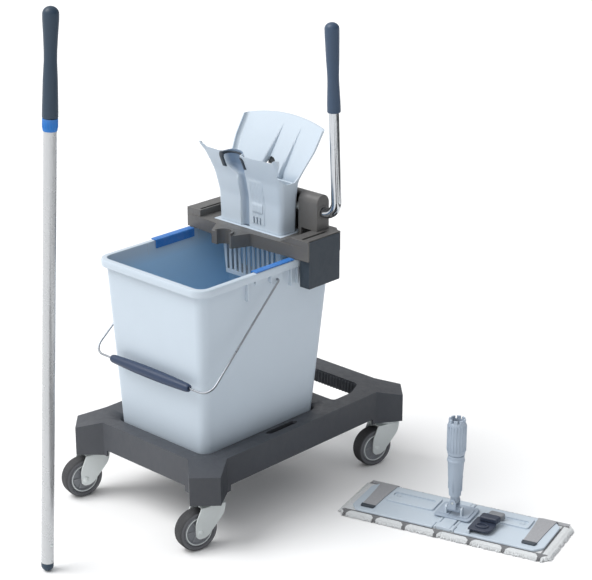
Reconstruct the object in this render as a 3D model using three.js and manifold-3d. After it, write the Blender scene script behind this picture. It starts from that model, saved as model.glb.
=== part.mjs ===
// A cleaning set on the floor: a telescopic pole, a bucket with a press wringer on a
// four-wheeled chassis, and a folding flat mop head.
// Millimetres, +Z up. The wringer side of the bucket is at the back (+Y).

import * as THREE from 'three';
import { mergeVertices } from 'three/addons/utils/BufferGeometryUtils.js';
import Module from 'manifold-3d';

const wasm = await Module();
wasm.setup();

// ---- Driving dimensions -------------------------------------------------------------

const GAP = 0.3;                       // clearance between pieces that touch

// Where the three items stand. The trolley frame has its origin on the floor under the
// middle of the chassis, and the set's origin is under the middle of all three items.
const TROLLEY_IN_SET = new THREE.Vector2(-226.8, 115.6);
const POLE_FOOT = new THREE.Vector2(18, -513);
const POLE_LEAN = new THREE.Vector3(0.0381, 0.0359, 0.9986);
const MOP_CENTRE = new THREE.Vector2(432, 131);
const MOP_TURN = THREE.MathUtils.degToRad(16.1);

// Chassis: a moulded tray with four diagonal arms
const CHASSIS_HALF_WIDTH = 167;
const CHASSIS_HALF_LENGTH = 258;
const ARM_TIP = new THREE.Vector2(197, 293);
const ARM_FACET = 40;                  // how far each 45 degree end face cuts the corner
const ARM_ROOT = new THREE.Vector2(117, 207);
const CHASSIS_TOP = 162;
const ARM_TIP_TOP = 150;
const ARM_BOTTOM = 94;
const SKIRT_BOTTOM = 106;
const CHASSIS_WALL = 4;
const DECK = 125;

// Swivel casters
const CASTER_X = 159;
const CASTER_Y = 244;
const CASTER_TRAIL = 31;
const CASTER_TURN = THREE.MathUtils.degToRad(-14);
const WHEEL_RADIUS = 39;
const TYRE_HALF_WIDTH = 13.5;
const HUB_RADIUS = 29;

// Bucket, 25 litres
const BUCKET_WALL = 2.6;
const BUCKET_FOOT = { x0: -116, x1: 116, y0: -213, y1: 78, r: 18, z: DECK + GAP };
const BUCKET_LIP = { x0: -132.5, x1: 132.5, y0: -231.5, y1: 119.5, r: 20, z: 485 };
const RIM_OVERHANG = 10;
const RIM_DEPTH = 14;
const RIM_TOP = BUCKET_LIP.z;

// Bail
const BAIL_PIVOT = new THREE.Vector3(145.3, -46, 460);
const BAIL_CORNER = new THREE.Vector3(157, -239, 292.5);
const BAIL_WIRE_RADIUS = 2;
const BAIL_GRIP_LENGTH = 210;

// Wringer
const CARRIER_BOTTOM = 487;
const CARRIER_PLATE_TOP = 512;
const CARRIER_BLOCK_TOP = 525;
const CARRIER_LEFT = -148;
const CARRIER_RIGHT = 167.5;
const CARRIER_FRONT = 3;
const CARRIER_BACK = 134;
const CARRIER_WALL = 3.5;
const NOTCH_RADIUS = 16.5;
const NOTCH_CENTRE = new THREE.Vector2(-7.5, -39);
const SHAFT_Y = 78;
const SHAFT_Z = 559;
const SHAFT_RADIUS = 7;
const CAM_X = 45;
const CAM_REACH = 23;
const THROAT_HALF_WIDTH = 82;
const THROAT_FRONT = 25;
const THROAT_BACK = 70;
const HOPPER_WALL = 2.5;

// Wringer lever
const LEVER_X = 174;
const LEVER_RADIUS = 9.5;
const LEVER_LEAN = THREE.MathUtils.degToRad(2.7);
const LEVER_GRIP_START = 200;
const LEVER_GRIP_END = 366;

// Telescopic pole
const POLE_LENGTH = 1019;
const POLE_TUBE_RADIUS = 11.25;
const POLE_TUBE_END = 822;
const POLE_INNER_RADIUS = 9.6;
const POLE_GRIP_LENGTH = 184;

// Flat mop head, in its own frame: X along the head, origin on the floor
const PAD_HALF_LENGTH = 210;
const PAD_HALF_WIDTH = 73;
const PAD_TOP = 8.7;
const WING_BOTTOM = 9;
const WING_TOP = 13.5;
const WING_HALF_WIDTH = 60;
const WING_END = 192;
const STRAP_FRONT = -48;
const FOLD_X = 17;
const FOLD_Z = 12;
const KNUCKLE_RADIUS = 3;
const JOINT_Y = -5;
const TILT_Z = 30;
const SWING_Z = 46;
const SOCKET_TOP = 215;

// ---- Materials ----------------------------------------------------------------------

function finish(color, roughness, metalness = 0) {
  return new THREE.MeshStandardMaterial({ color, roughness, metalness });
}

const graphitePlastic = finish(0x57575a, 0.55);
const taupePlastic = finish(0x67645f, 0.5);
const slatePlastic = finish(0x3b4450, 0.5);
const palePlastic = finish(0xc6d0de, 0.4);
const bluePlastic = finish(0x1659b8, 0.45);
const rubber = finish(0x66676c, 0.75);
const greyPlastic = finish(0x8a8f96, 0.5);
const zincSteel = finish(0xd4dbdc, 0.4, 0.7);
const chrome = finish(0xc9ced2, 0.15, 1);
const aluminium = finish(0xb9bdc0, 0.35, 0.9);
const slateGrip = finish(0x3c5069, 0.6);
const darkGrip = finish(0x233746, 0.6);
const navyPlastic = finish(0x2d3748, 0.5);
const mopFabric = finish(0xe6e8e6, 0.95);
const strapFabric = finish(0x85868a, 0.9);

// ---- Shape helpers ------------------------------------------------------------------

// A manifold solid from a closed geometry, with its faces turned outward.
function toSolid(geometry) {
  const bare = geometry.clone();
  bare.deleteAttribute('normal');
  bare.deleteAttribute('uv');
  const merged = mergeVertices(bare, 1e-4);
  const position = merged.getAttribute('position');
  const triangles = Uint32Array.from(merged.index.array);
  const corners = [new THREE.Vector3(), new THREE.Vector3(), new THREE.Vector3()];
  let volume = 0;
  for (let i = 0; i < triangles.length; i += 3) {
    corners.forEach((corner, k) => corner.fromBufferAttribute(position, triangles[i + k]));
    volume += corners[0].dot(corners[1].cross(corners[2]));
  }
  if (volume < 0) {
    for (let i = 0; i < triangles.length; i += 3) {
      [triangles[i], triangles[i + 1]] = [triangles[i + 1], triangles[i]];
    }
  }
  const vertProperties = Float32Array.from(position.array);
  return new wasm.Manifold(new wasm.Mesh({ numProp: 3, vertProperties, triVerts: triangles }));
}

function toGeometry(solid) {
  const mesh = solid.getMesh();
  const geometry = new THREE.BufferGeometry();
  geometry.setAttribute('position', new THREE.BufferAttribute(mesh.vertProperties, 3));
  geometry.setIndex(new THREE.BufferAttribute(mesh.triVerts, 1));
  geometry.computeVertexNormals();
  return geometry;
}

function join(...geometries) {
  return toGeometry(geometries.map(toSolid).reduce((whole, piece) => whole.add(piece)));
}

function cut(base, ...tools) {
  return toGeometry(tools.map(toSolid).reduce((rest, tool) => rest.subtract(tool), toSolid(base)));
}

function block(x0, x1, y0, y1, z0, z1) {
  const geometry = new THREE.BoxGeometry(x1 - x0, y1 - y0, z1 - z0);
  return geometry.translate((x0 + x1) / 2, (y0 + y1) / 2, (z0 + z1) / 2);
}

// Cylinders along each axis, between two coordinates on that axis.
function upright(radius, x, y, z0, z1, sides = 24) {
  const geometry = new THREE.CylinderGeometry(radius, radius, z1 - z0, sides);
  return geometry.rotateX(Math.PI / 2).translate(x, y, (z0 + z1) / 2);
}

function rodX(radius, x0, x1, y, z, sides = 16) {
  const geometry = new THREE.CylinderGeometry(radius, radius, x1 - x0, sides);
  return geometry.rotateZ(Math.PI / 2).translate((x0 + x1) / 2, y, z);
}

function rodY(radius, y0, y1, x, z, sides = 16) {
  const geometry = new THREE.CylinderGeometry(radius, radius, y1 - y0, sides);
  return geometry.translate(x, (y0 + y1) / 2, z);
}

function outline(points) {
  return new THREE.Shape(points.map(([a, b]) => new THREE.Vector2(a, b)));
}

// A closed outline with every corner rounded to the same radius.
function roundedOutline(points, radius) {
  const shape = new THREE.Shape();
  const corners = points.map(([a, b]) => new THREE.Vector2(a, b));
  corners.forEach((corner, i) => {
    const before = corners[(i + corners.length - 1) % corners.length];
    const after = corners[(i + 1) % corners.length];
    const start = corner.clone().add(before.clone().sub(corner).setLength(radius));
    const end = corner.clone().add(after.clone().sub(corner).setLength(radius));
    if (i === 0) {
      shape.moveTo(start.x, start.y);
    } else {
      shape.lineTo(start.x, start.y);
    }
    shape.quadraticCurveTo(corner.x, corner.y, end.x, end.y);
  });
  shape.closePath();
  return shape;
}

function rectangle(x0, x1, y0, y1) {
  return [[x0, y0], [x1, y0], [x1, y1], [x0, y1]];
}

function prism(shape, z0, z1, curveSegments = 4) {
  const geometry = new THREE.ExtrudeGeometry(shape, { depth: z1 - z0, bevelEnabled: false, curveSegments });
  return geometry.translate(0, 0, z0);
}

// A profile drawn in the YZ plane and extruded along X.
function sidePrism(shape, x0, x1, curveSegments = 8) {
  const depth = x1 - x0;
  const geometry = new THREE.ExtrudeGeometry(shape, { depth, bevelEnabled: false, curveSegments });
  const turn = new THREE.Matrix4().makeBasis(
    new THREE.Vector3(0, 1, 0),
    new THREE.Vector3(0, 0, 1),
    new THREE.Vector3(1, 0, 0),
  );
  return geometry.applyMatrix4(turn).translate(x0, 0, 0);
}

// A body that passes through a stack of rounded rectangles { x0, x1, y0, y1, r, z }.
function roundedLoft(sections, curveSegments = 3) {
  const unit = new THREE.Shape();
  const quarter = Math.PI / 2;
  unit.absarc(1, 1, 1, 0, quarter);
  unit.absarc(-1, 1, 1, quarter, 2 * quarter);
  unit.absarc(-1, -1, 1, 2 * quarter, 3 * quarter);
  unit.absarc(1, -1, 1, 3 * quarter, 4 * quarter);
  const steps = sections.length - 1;
  const geometry = new THREE.ExtrudeGeometry(unit, {
    depth: steps, steps, bevelEnabled: false, curveSegments,
  });
  const position = geometry.getAttribute('position');
  for (let i = 0; i < position.count; i += 1) {
    const { x0, x1, y0, y1, r, z } = sections[Math.round(position.getZ(i))];
    const cornerX = THREE.MathUtils.clamp(position.getX(i), -1, 1);
    const cornerY = THREE.MathUtils.clamp(position.getY(i), -1, 1);
    const x = (x0 + x1) / 2 + cornerX * ((x1 - x0) / 2 - r) + (position.getX(i) - cornerX) * r;
    const y = (y0 + y1) / 2 + cornerY * ((y1 - y0) / 2 - r) + (position.getY(i) - cornerY) * r;
    position.setXYZ(i, x, y, z);
  }
  return geometry;
}

// The same section grown outward by `by`, at a height of its own.
function grown(section, by, z = section.z) {
  const { x0, x1, y0, y1, r } = section;
  return { x0: x0 - by, x1: x1 + by, y0: y0 - by, y1: y1 + by, r: r + by, z };
}

// The section between two others, at height z.
function sectionAt(lower, upper, z) {
  const t = (z - lower.z) / (upper.z - lower.z);
  const section = { z };
  for (const key of ['x0', 'x1', 'y0', 'y1', 'r']) {
    section[key] = THREE.MathUtils.lerp(lower[key], upper[key], t);
  }
  return section;
}

// A turned body about Z, from [radius, height] pairs that close on themselves or on the axis.
function turned(profile, segments = 24) {
  const points = profile.map(([radius, height]) => new THREE.Vector2(radius, height));
  return new THREE.LatheGeometry(points, segments).rotateX(Math.PI / 2);
}

// A closed ring profile: outer points from bottom to top, then the bore back down.
function sleeveProfile(outer, bore) {
  const bottom = outer[0][1];
  const top = outer[outer.length - 1][1];
  return [...outer, [bore, top], [bore, bottom], outer[0]];
}

// A path of straight runs with rounded bends.
function bentPath(points, bend) {
  const path = new THREE.CurvePath();
  let last = points[0];
  for (let i = 1; i < points.length - 1; i += 1) {
    const corner = points[i];
    const start = corner.clone().add(points[i - 1].clone().sub(corner).setLength(bend));
    const end = corner.clone().add(points[i + 1].clone().sub(corner).setLength(bend));
    path.add(new THREE.LineCurve3(last, start));
    path.add(new THREE.QuadraticBezierCurve3(start, corner, end));
    last = end;
  }
  path.add(new THREE.LineCurve3(last, points[points.length - 1]));
  return path;
}

function sweep(path, steps, radius, sides, innerRadius = 0) {
  const section = new THREE.Shape();
  section.absarc(0, 0, radius, 0, 2 * Math.PI);
  if (innerRadius > 0) {
    const bore = new THREE.Path();
    bore.absarc(0, 0, innerRadius, 0, 2 * Math.PI, true);
    section.holes.push(bore);
  }
  return new THREE.ExtrudeGeometry(section, { steps, extrudePath: path, curveSegments: sides / 2 });
}

function add(parent, name, geometry, material) {
  const mesh = new THREE.Mesh(geometry, material);
  mesh.name = name;
  parent.add(mesh);
}

// ---- Chassis ------------------------------------------------------------------------

// The plan outline of the tray and its arms, drawn `inset` inside the real one.
function chassisOutline(inset) {
  const width = CHASSIS_HALF_WIDTH - inset;
  const length = CHASSIS_HALF_LENGTH - inset;
  const tip = ARM_TIP.clone().subScalar(inset);
  const facet = ARM_FACET - inset * 0.8;
  const quadrant = [
    [width, ARM_ROOT.y - inset / 2],
    [tip.x, tip.y - facet],
    [tip.x - facet, tip.y],
    [ARM_ROOT.x - inset / 2, length],
  ];
  const back = [...quadrant, ...quadrant.map(([x, y]) => [-x, y]).reverse()];
  return outline([...back, ...back.map(([x, y]) => [x, -y]).reverse()]);
}

// The sloping cut that brings each arm's top down from the tray to its tip.
function armSlope(angle) {
  const rootDistance = (ARM_ROOT.x + CHASSIS_HALF_LENGTH) / Math.SQRT2;
  const tipDistance = (ARM_TIP.x + ARM_TIP.y - ARM_FACET) / Math.SQRT2;
  const slope = Math.atan2(CHASSIS_TOP - ARM_TIP_TOP, tipDistance - rootDistance);
  const above = block(0, 100, -120, 120, 0, 40).rotateY(slope);
  return above.translate(rootDistance, 0, CHASSIS_TOP).rotateZ(angle);
}

function makeChassis() {
  const well = [
    { x0: -121, x1: 121, y0: -218, y1: 84, r: 22, z: DECK },
    { x0: -123, x1: 123, y0: -221, y1: 87, r: 22, z: 157 },
    { x0: -156, x1: 156, y0: -248, y1: 103, r: 44, z: CHASSIS_TOP + 1 },
  ];
  const window = [[-112, 214], [-132, 172], [-132, 120], [132, 120], [132, 172], [112, 214]];
  const windowAround = [[-115, 218], [-136, 173], [-136, 116], [136, 116], [136, 173], [115, 218]];
  const wellAround = well.map((section) => grown(section, CHASSIS_WALL, section.z - CHASSIS_WALL));
  const underTop = CHASSIS_TOP - CHASSIS_WALL;
  const underArm = ARM_TIP_TOP - CHASSIS_WALL - 1;
  const width = CHASSIS_HALF_WIDTH - CHASSIS_WALL;
  const length = CHASSIS_HALF_LENGTH - CHASSIS_WALL;
  const corners = [[1, 1], [-1, 1], [-1, -1], [1, -1]];

  const bosses = corners.map(([sx, sy]) => upright(13, sx * CASTER_X, sy * CASTER_Y, 80, 160));
  const beamRibs = [];
  for (let x = -96; x <= 96; x += 24) {
    beamRibs.push(block(x - 1.5, x + 1.5, 217, 255, SKIRT_BOTTOM - 1, underTop + 1));
  }
  const hollow = cut(
    join(
      prism(chassisOutline(CHASSIS_WALL), ARM_BOTTOM - 1, underArm),
      block(-width, width, -ARM_ROOT.y, ARM_ROOT.y, ARM_BOTTOM - 1, underTop),
      block(-ARM_ROOT.x, ARM_ROOT.x, -length, length, ARM_BOTTOM - 1, underTop),
    ),
    roundedLoft([...wellAround, grown(wellAround[2], 0, CHASSIS_TOP)]),
    prism(roundedOutline(windowAround, 12), ARM_BOTTOM - 2, CHASSIS_TOP),
    ...bosses,
    ...beamRibs,
  );
  const lipHoles = [-1, 1].map((side) => {
    const hole = roundedOutline(rectangle(side * 143 - 8, side * 143 + 8, -77, 1), 7.8);
    return prism(hole, 145, CHASSIS_TOP + 5);
  });
  return cut(
    prism(chassisOutline(0), ARM_BOTTOM, CHASSIS_TOP),
    ...corners.map((corner, i) => armSlope(Math.PI / 4 + (i * Math.PI) / 2)),
    block(-108, 108, -300, 300, ARM_BOTTOM - 5, SKIRT_BOTTOM),
    block(-220, 220, -198, 198, ARM_BOTTOM - 5, SKIRT_BOTTOM),
    roundedLoft(well),
    prism(roundedOutline(window, 10), ARM_BOTTOM - 5, CHASSIS_TOP + 5),
    hollow,
    ...lipHoles,
    block(-104, 104, 204, 250, ARM_BOTTOM - 5, 134),
    block(-104, 104, 245, 262, ARM_BOTTOM - 5, 118),
    ...corners.map(([sx, sy]) => upright(6.2, sx * CASTER_X, sy * CASTER_Y, 80, 136)),
  );
}

// ---- Casters ------------------------------------------------------------------------

function makeCasterCup() {
  return turned(sleeveProfile([[20, 87.5], [24, 90], [24, ARM_BOTTOM - GAP]], 6.4), 16);
}

// Crown, two legs, stem and riveted axle. The wheel trails toward -Y.
function makeFork() {
  const leg = outline([
    [-26, 87], [22, 87], [18, 72], [-22, 34], [-27, 29.5], [-35, 29.5], [-40, 36], [-38, 58],
  ]);
  const left = sidePrism(leg, -19, -16.2);
  const right = sidePrism(leg, 16.2, 19);
  const crown = block(-19, 19, -26, 22, 84, 87);
  const race = upright(18, 0, 0, 83, 87, 16);
  const stem = upright(5.8, 0, 0, 86, 134, 12);
  const axle = rodX(4, -18, 18, -CASTER_TRAIL, WHEEL_RADIUS, 12);
  const heads = [-1, 1].map((side) => {
    return rodX(6.5, side * 20.5 - 2, side * 20.5 + 2, -CASTER_TRAIL, WHEEL_RADIUS, 12);
  });
  return join(crown, left, right, race, stem, axle, ...heads);
}

// Wheels are turned about Z, then laid on their side.
function makeHub() {
  const profile = [
    [4.4, -14.5], [9, -14.5], [10, -9], [23, -9], [25, -12.5], [HUB_RADIUS - GAP, -12.5],
    [HUB_RADIUS - GAP, 12.5], [25, 12.5], [23, 9], [10, 9], [9, 14.5], [4.4, 14.5], [4.4, -14.5],
  ];
  return turned(profile, 16).rotateY(Math.PI / 2);
}

function makeTyre() {
  const half = TYRE_HALF_WIDTH;
  const profile = [
    [HUB_RADIUS, -half + 1], [HUB_RADIUS + 2, -half], [WHEEL_RADIUS - 4, -half],
    [WHEEL_RADIUS - 1, -half + 3], [WHEEL_RADIUS, -half + 6], [WHEEL_RADIUS, half - 6],
    [WHEEL_RADIUS - 1, half - 3], [WHEEL_RADIUS - 4, half], [HUB_RADIUS + 2, half],
    [HUB_RADIUS, half - 1], [HUB_RADIUS, -half + 1],
  ];
  return turned(profile, 28).rotateY(Math.PI / 2);
}

function addCasters(parent) {
  const places = {
    front_left: [-1, -1], front_right: [1, -1], rear_left: [-1, 1], rear_right: [1, 1],
  };
  for (const [place, [sx, sy]] of Object.entries(places)) {
    const caster = new THREE.Group();
    caster.position.set(sx * CASTER_X, sy * CASTER_Y, 0);
    caster.rotation.z = CASTER_TURN;
    parent.add(caster);
    add(caster, `caster_cup_${place}`, makeCasterCup(), zincSteel);
    add(caster, `caster_fork_${place}`, makeFork(), zincSteel);
    const wheel = new THREE.Group();
    wheel.position.set(0, -CASTER_TRAIL, WHEEL_RADIUS);
    caster.add(wheel);
    add(wheel, `wheel_hub_${place}`, makeHub(), greyPlastic);
    add(wheel, `wheel_tyre_${place}`, makeTyre(), rubber);
  }
}

// ---- Bucket and bail ----------------------------------------------------------------

function makeBucket() {
  const rimOuter = grown(BUCKET_LIP, RIM_OVERHANG);
  const rimInner = grown(BUCKET_LIP, RIM_OVERHANG - 3);
  const rimBase = RIM_TOP - RIM_DEPTH;
  const rim = cut(
    roundedLoft([grown(rimOuter, 0, rimBase), grown(rimOuter, 0, RIM_TOP)]),
    roundedLoft([grown(rimInner, 0, rimBase - 1), grown(rimInner, 0, RIM_TOP - 3)]),
  );
  const ears = [-1, 1].map((side) => {
    const ear = side * (BAIL_PIVOT.x - 11.5);
    return rodX(9, ear - 5.5, ear + 5.5, BAIL_PIVOT.y, BAIL_PIVOT.z);
  });
  const ribs = [];
  for (const side of [-1, 1]) {
    for (const y of [-118, -4, 14]) {
      const x = side * 133;
      ribs.push(block(x - 4.5, x + 4.5, y - 1.5, y + 1.5, RIM_TOP - 50, RIM_TOP - 1));
    }
  }
  const inside = roundedLoft([
    grown(sectionAt(BUCKET_FOOT, BUCKET_LIP, DECK + 3), -BUCKET_WALL),
    grown(sectionAt(BUCKET_FOOT, BUCKET_LIP, RIM_TOP + 1), -BUCKET_WALL),
  ]);
  const bores = [-1, 1].map((side) => {
    const bore = side * (BAIL_PIVOT.x - 8.5);
    return rodX(2.5, bore - 4.5, bore + 4.5, BAIL_PIVOT.y, BAIL_PIVOT.z, 12);
  });
  return cut(join(roundedLoft([BUCKET_FOOT, BUCKET_LIP]), rim, ...ears, ...ribs), inside, ...bores);
}

// A strip over the top and the inner edge of the rim.
function makeRimClip(side) {
  const inside = BUCKET_LIP.x1 - BUCKET_WALL;
  const top = block(inside - 2.6, inside + 8.7, -100, 0, RIM_TOP + GAP, RIM_TOP + 2.2);
  const inner = block(inside - 3.9, inside - 1.9, -100, 0, RIM_TOP - 15, RIM_TOP + 2.2);
  const clip = join(top, inner);
  return side > 0 ? clip : clip.rotateZ(Math.PI).translate(0, -100, 0);
}

// A wire loop with rounded corners and a short pin into each ear.
function makeBailWire() {
  const mirrored = [BAIL_CORNER, BAIL_PIVOT].map((point) => new THREE.Vector3(-point.x, point.y, point.z));
  const loop = sweep(bentPath([BAIL_PIVOT, BAIL_CORNER, ...mirrored], 24), 64, BAIL_WIRE_RADIUS, 6);
  const pins = [-1, 1].map((side) => {
    const middle = side * (BAIL_PIVOT.x - 4.8);
    return rodX(BAIL_WIRE_RADIUS, middle - 6.7, middle + 6.7, BAIL_PIVOT.y, BAIL_PIVOT.z, 12);
  });
  return join(loop, ...pins);
}

function makeBailGrip() {
  const half = BAIL_GRIP_LENGTH / 2;
  const outer = [
    [6, -half], [8, -half + 4], [9.5, -half + 30], [10.5, 0], [9.5, half - 30], [8, half - 4], [6, half],
  ];
  const grip = turned(sleeveProfile(outer, BAIL_WIRE_RADIUS + GAP), 16).rotateY(Math.PI / 2);
  return grip.translate(0, BAIL_CORNER.y, BAIL_CORNER.z);
}

// ---- Wringer ------------------------------------------------------------------------

// The plate in plan, drawn `inset` inside the real one, with its forward nose.
function carrierPlan(inset) {
  const front = CARRIER_FRONT + inset;
  return [
    [CARRIER_LEFT + inset, front], [-62 + inset, front - 6], [-38 + inset, -39 + inset],
    [14 - inset, -39 + inset], [30 - inset, front - 6], [CARRIER_RIGHT - inset, front],
    [CARRIER_RIGHT - inset, 96 - inset], [124 - inset, CARRIER_BACK - inset],
    [-108 + inset, CARRIER_BACK - inset], [CARRIER_LEFT + inset, 100 - inset],
  ];
}

function makeCarrier() {
  const floor = CARRIER_BOTTOM - 5;
  const wall = CARRIER_WALL;
  const plate = prism(outline(carrierPlan(0)), CARRIER_BOTTOM, CARRIER_PLATE_TOP);
  const leftBlock = block(CARRIER_LEFT, -112, CARRIER_FRONT, 100, 500, CARRIER_BLOCK_TOP);
  const rightBlock = block(128, CARRIER_RIGHT, CARRIER_FRONT, 96, 500, CARRIER_BLOCK_TOP);
  const rampSide = outline([
    [101, 505], [129, 505], [129, CARRIER_BLOCK_TOP], [127, CARRIER_BLOCK_TOP], [101, CARRIER_PLATE_TOP],
  ]);
  const rightRamp = prism(rampSide, 0, 96 - CARRIER_FRONT).rotateX(Math.PI / 2).translate(0, 96, 0);
  const cheek = block(160, 171, CARRIER_FRONT, 7.5, CARRIER_BOTTOM, CARRIER_BLOCK_TOP);
  const notch = upright(NOTCH_RADIUS, NOTCH_CENTRE.x, NOTCH_CENTRE.y, floor, 540, 32);
  const notchTop = CARRIER_PLATE_TOP + 5;
  const notchCollar = upright(NOTCH_RADIUS + 4, NOTCH_CENTRE.x, NOTCH_CENTRE.y, CARRIER_BOTTOM, notchTop, 32);
  const body = join(plate, leftBlock, rightBlock, rightRamp, cheek);
  const nose = cut(notchCollar, block(-40, 30, -80, -39, floor, 530), block(-40, 30, -80, 0, floor, 500));

  const underPlate = cut(
    prism(outline(carrierPlan(wall)), floor, CARRIER_PLATE_TOP - wall),
    upright(NOTCH_RADIUS + wall, NOTCH_CENTRE.x, NOTCH_CENTRE.y, floor - 1, 540, 32),
    block(-THROAT_HALF_WIDTH - 12, THROAT_HALF_WIDTH + 12, 12, 85, floor - 1, 540),
  );
  const ceiling = CARRIER_BLOCK_TOP - wall;
  const underLeft = block(CARRIER_LEFT + wall, -112 - wall, CARRIER_FRONT + wall, 96, 499, ceiling);
  const underRight = block(130, CARRIER_RIGHT - wall, CARRIER_FRONT + wall, 92, 499, ceiling);
  const throat = block(-84.5, 84.5, 20.5, 75, floor, 540);
  const rebate = block(-89.5, 89.5, 16, 79.5, CARRIER_PLATE_TOP - 3, 540);
  const slots = [-118, 151].map((x) => {
    return prism(roundedOutline(rectangle(x - 3, x + 3, 10, 76), 2.8), 500, 540);
  });
  const rests = [-135, 135].map((x) => {
    return block(x - 1.5, x + 1.5, 20, 88, RIM_TOP + GAP, CARRIER_BLOCK_TOP - 1);
  });
  const shell = cut(join(body, nose), underPlate, underLeft, underRight, throat, rebate, notch, ...slots);
  return join(shell, ...rests);
}

// The right hook is a deep box outside the rim with a cover plate up the carrier's end.
function makeRightHook() {
  const box = cut(
    block(146, 170.5, 8, 92, 432, CARRIER_BOTTOM - GAP),
    block(149, 167.5, 11, 89, 430, CARRIER_BOTTOM - 4),
  );
  const cover = block(CARRIER_RIGHT + GAP, 170.5, 8, 92, 480, 523);
  return join(box, cover);
}

function makeLeftHook() {
  const blade = block(-148, -145.5, 8, 92, 440, CARRIER_BOTTOM - GAP);
  const flange = block(-148, -143, 8, 92, 478, CARRIER_BOTTOM - GAP);
  return join(blade, flange);
}

const hopperSections = [
  { x0: -82, x1: 82, y0: THROAT_FRONT, y1: THROAT_BACK, r: 9, z: CARRIER_PLATE_TOP + GAP },
  { x0: -84, x1: 84, y0: 24, y1: THROAT_BACK, r: 9, z: 570 },
  { x0: -90, x1: 90, y0: 16, y1: THROAT_BACK, r: 9, z: 611 },
  { x0: -95, x1: 95, y0: 6, y1: 85.6, r: 9, z: 635 },
  { x0: -102, x1: 102, y0: -5, y1: 103.2, r: 9, z: 662 },
  { x0: -103, x1: 103, y0: -12, y1: 130, r: 9, z: 703 },
];

function makeHopper() {
  const inside = hopperSections.map((section) => grown(section, -HOPPER_WALL));
  inside[0].z -= 2;
  inside[inside.length - 1].z += 2;
  const mouth = sidePrism(outline([[-60, 661], [0, 661], [10, 628], [30, 612], [56, 611], [62, 618],
    [118, 704], [120, 740], [-60, 740]]), -130, 130);
  const camWindows = [-CAM_X, CAM_X].map((x) => block(x - 6.5, x + 6.5, 60, 75, 545, 594));
  const drains = [13, 21.5, 30].map((x) => block(x - 1.6, x + 1.6, 15, 35, 522, 536));
  const backHole = cut(
    rodY(14, 60, 110, 2, 622, 20),
    block(-30, 30, 50, 120, 600, 622),
  );
  const ridge = block(-26, -22, 20.5, 26, 519, 606);
  const pad = block(8, 38, 21.5, 26, 545, 562);
  const shell = join(roundedLoft(hopperSections), ridge, pad);
  return cut(shell, roundedLoft(inside), mouth, backHole, ...camWindows, ...drains);
}

// A bracket that follows the flare of the hopper's front wall.
function makeSaddle() {
  const profile = outline([[10.2, 622], [5.5, 635], [-0.6, 650], [-4.2, 648.6], [1.9, 633.6], [6.8, 620.8]]);
  const plate = sidePrism(profile, -57, 11);
  const window = rodY(12, -20, 40, -23, 622, 20);
  return cut(plate, window);
}

function makeBasket() {
  const foot = { x0: -73, x1: 73, y0: 29, y1: 66, r: 6, z: 403 };
  const neck = { x0: -81, x1: 81, y0: 25.5, y1: 69.5, r: 6, z: CARRIER_PLATE_TOP - GAP };
  const flange = block(-89, 89, 16.5, 79, CARRIER_PLATE_TOP - 3 + GAP, CARRIER_PLATE_TOP - GAP);
  const inside = [
    grown(sectionAt(foot, neck, 406), -2.2),
    grown(sectionAt(foot, neck, CARRIER_PLATE_TOP + 1), -2.2),
  ];
  const slots = [];
  for (let i = -5; i <= 5; i += 1) {
    slots.push(block(i * 12.5 - 3.2, i * 12.5 + 3.2, 10, 90, 412, 488));
  }
  return cut(join(roundedLoft([foot, neck]), flange), roundedLoft(inside), ...slots);
}

function makeShaftHousing() {
  const arch = new THREE.Shape();
  arch.moveTo(SHAFT_Y - 17, CARRIER_PLATE_TOP + GAP);
  arch.lineTo(SHAFT_Y + 17, CARRIER_PLATE_TOP + GAP);
  arch.lineTo(SHAFT_Y + 17, 576);
  arch.absarc(SHAFT_Y, 576, 17, 0, Math.PI);
  arch.lineTo(SHAFT_Y - 17, CARRIER_PLATE_TOP + GAP);
  const hollow = new THREE.Shape();
  hollow.moveTo(SHAFT_Y - 13.5, CARRIER_PLATE_TOP - 1);
  hollow.lineTo(SHAFT_Y + 13.5, CARRIER_PLATE_TOP - 1);
  hollow.lineTo(SHAFT_Y + 13.5, 576);
  hollow.absarc(SHAFT_Y, 576, 13.5, 0, Math.PI);
  hollow.lineTo(SHAFT_Y - 13.5, CARRIER_PLATE_TOP - 1);
  return cut(
    sidePrism(arch, -104, 140),
    sidePrism(hollow, -99, 134),
    block(-93, 93, 50, THROAT_BACK + 0.6, 500, 600),
    block(100, 141, 50, 100, 500, CARRIER_BLOCK_TOP + GAP),
    rodX(SHAFT_RADIUS + 0.4, 130, 142, SHAFT_Y, SHAFT_Z),
  );
}

function makeCam() {
  const lobe = new THREE.Shape();
  lobe.absarc(SHAFT_Y, SHAFT_Z, 9.5, Math.PI, 2 * Math.PI);
  lobe.lineTo(SHAFT_Y + 6, SHAFT_Z + CAM_REACH);
  lobe.absarc(SHAFT_Y, SHAFT_Z + CAM_REACH, 6, 0, Math.PI);
  lobe.closePath();
  return cut(sidePrism(lobe, -5, 5), rodX(SHAFT_RADIUS + GAP, -6, 6, SHAFT_Y, SHAFT_Z));
}

function makeReturnSpring() {
  const turns = 3;
  const points = [];
  for (let i = 0; i <= turns * 10; i += 1) {
    const angle = (i / 10) * 2 * Math.PI;
    const y = SHAFT_Y + 9.4 * Math.cos(angle);
    const z = SHAFT_Z + 9.4 * Math.sin(angle);
    points.push(new THREE.Vector3(105 + i * 0.5, y, z));
  }
  return sweep(new THREE.CatmullRomCurve3(points), turns * 12, 1.1, 6);
}

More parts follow.
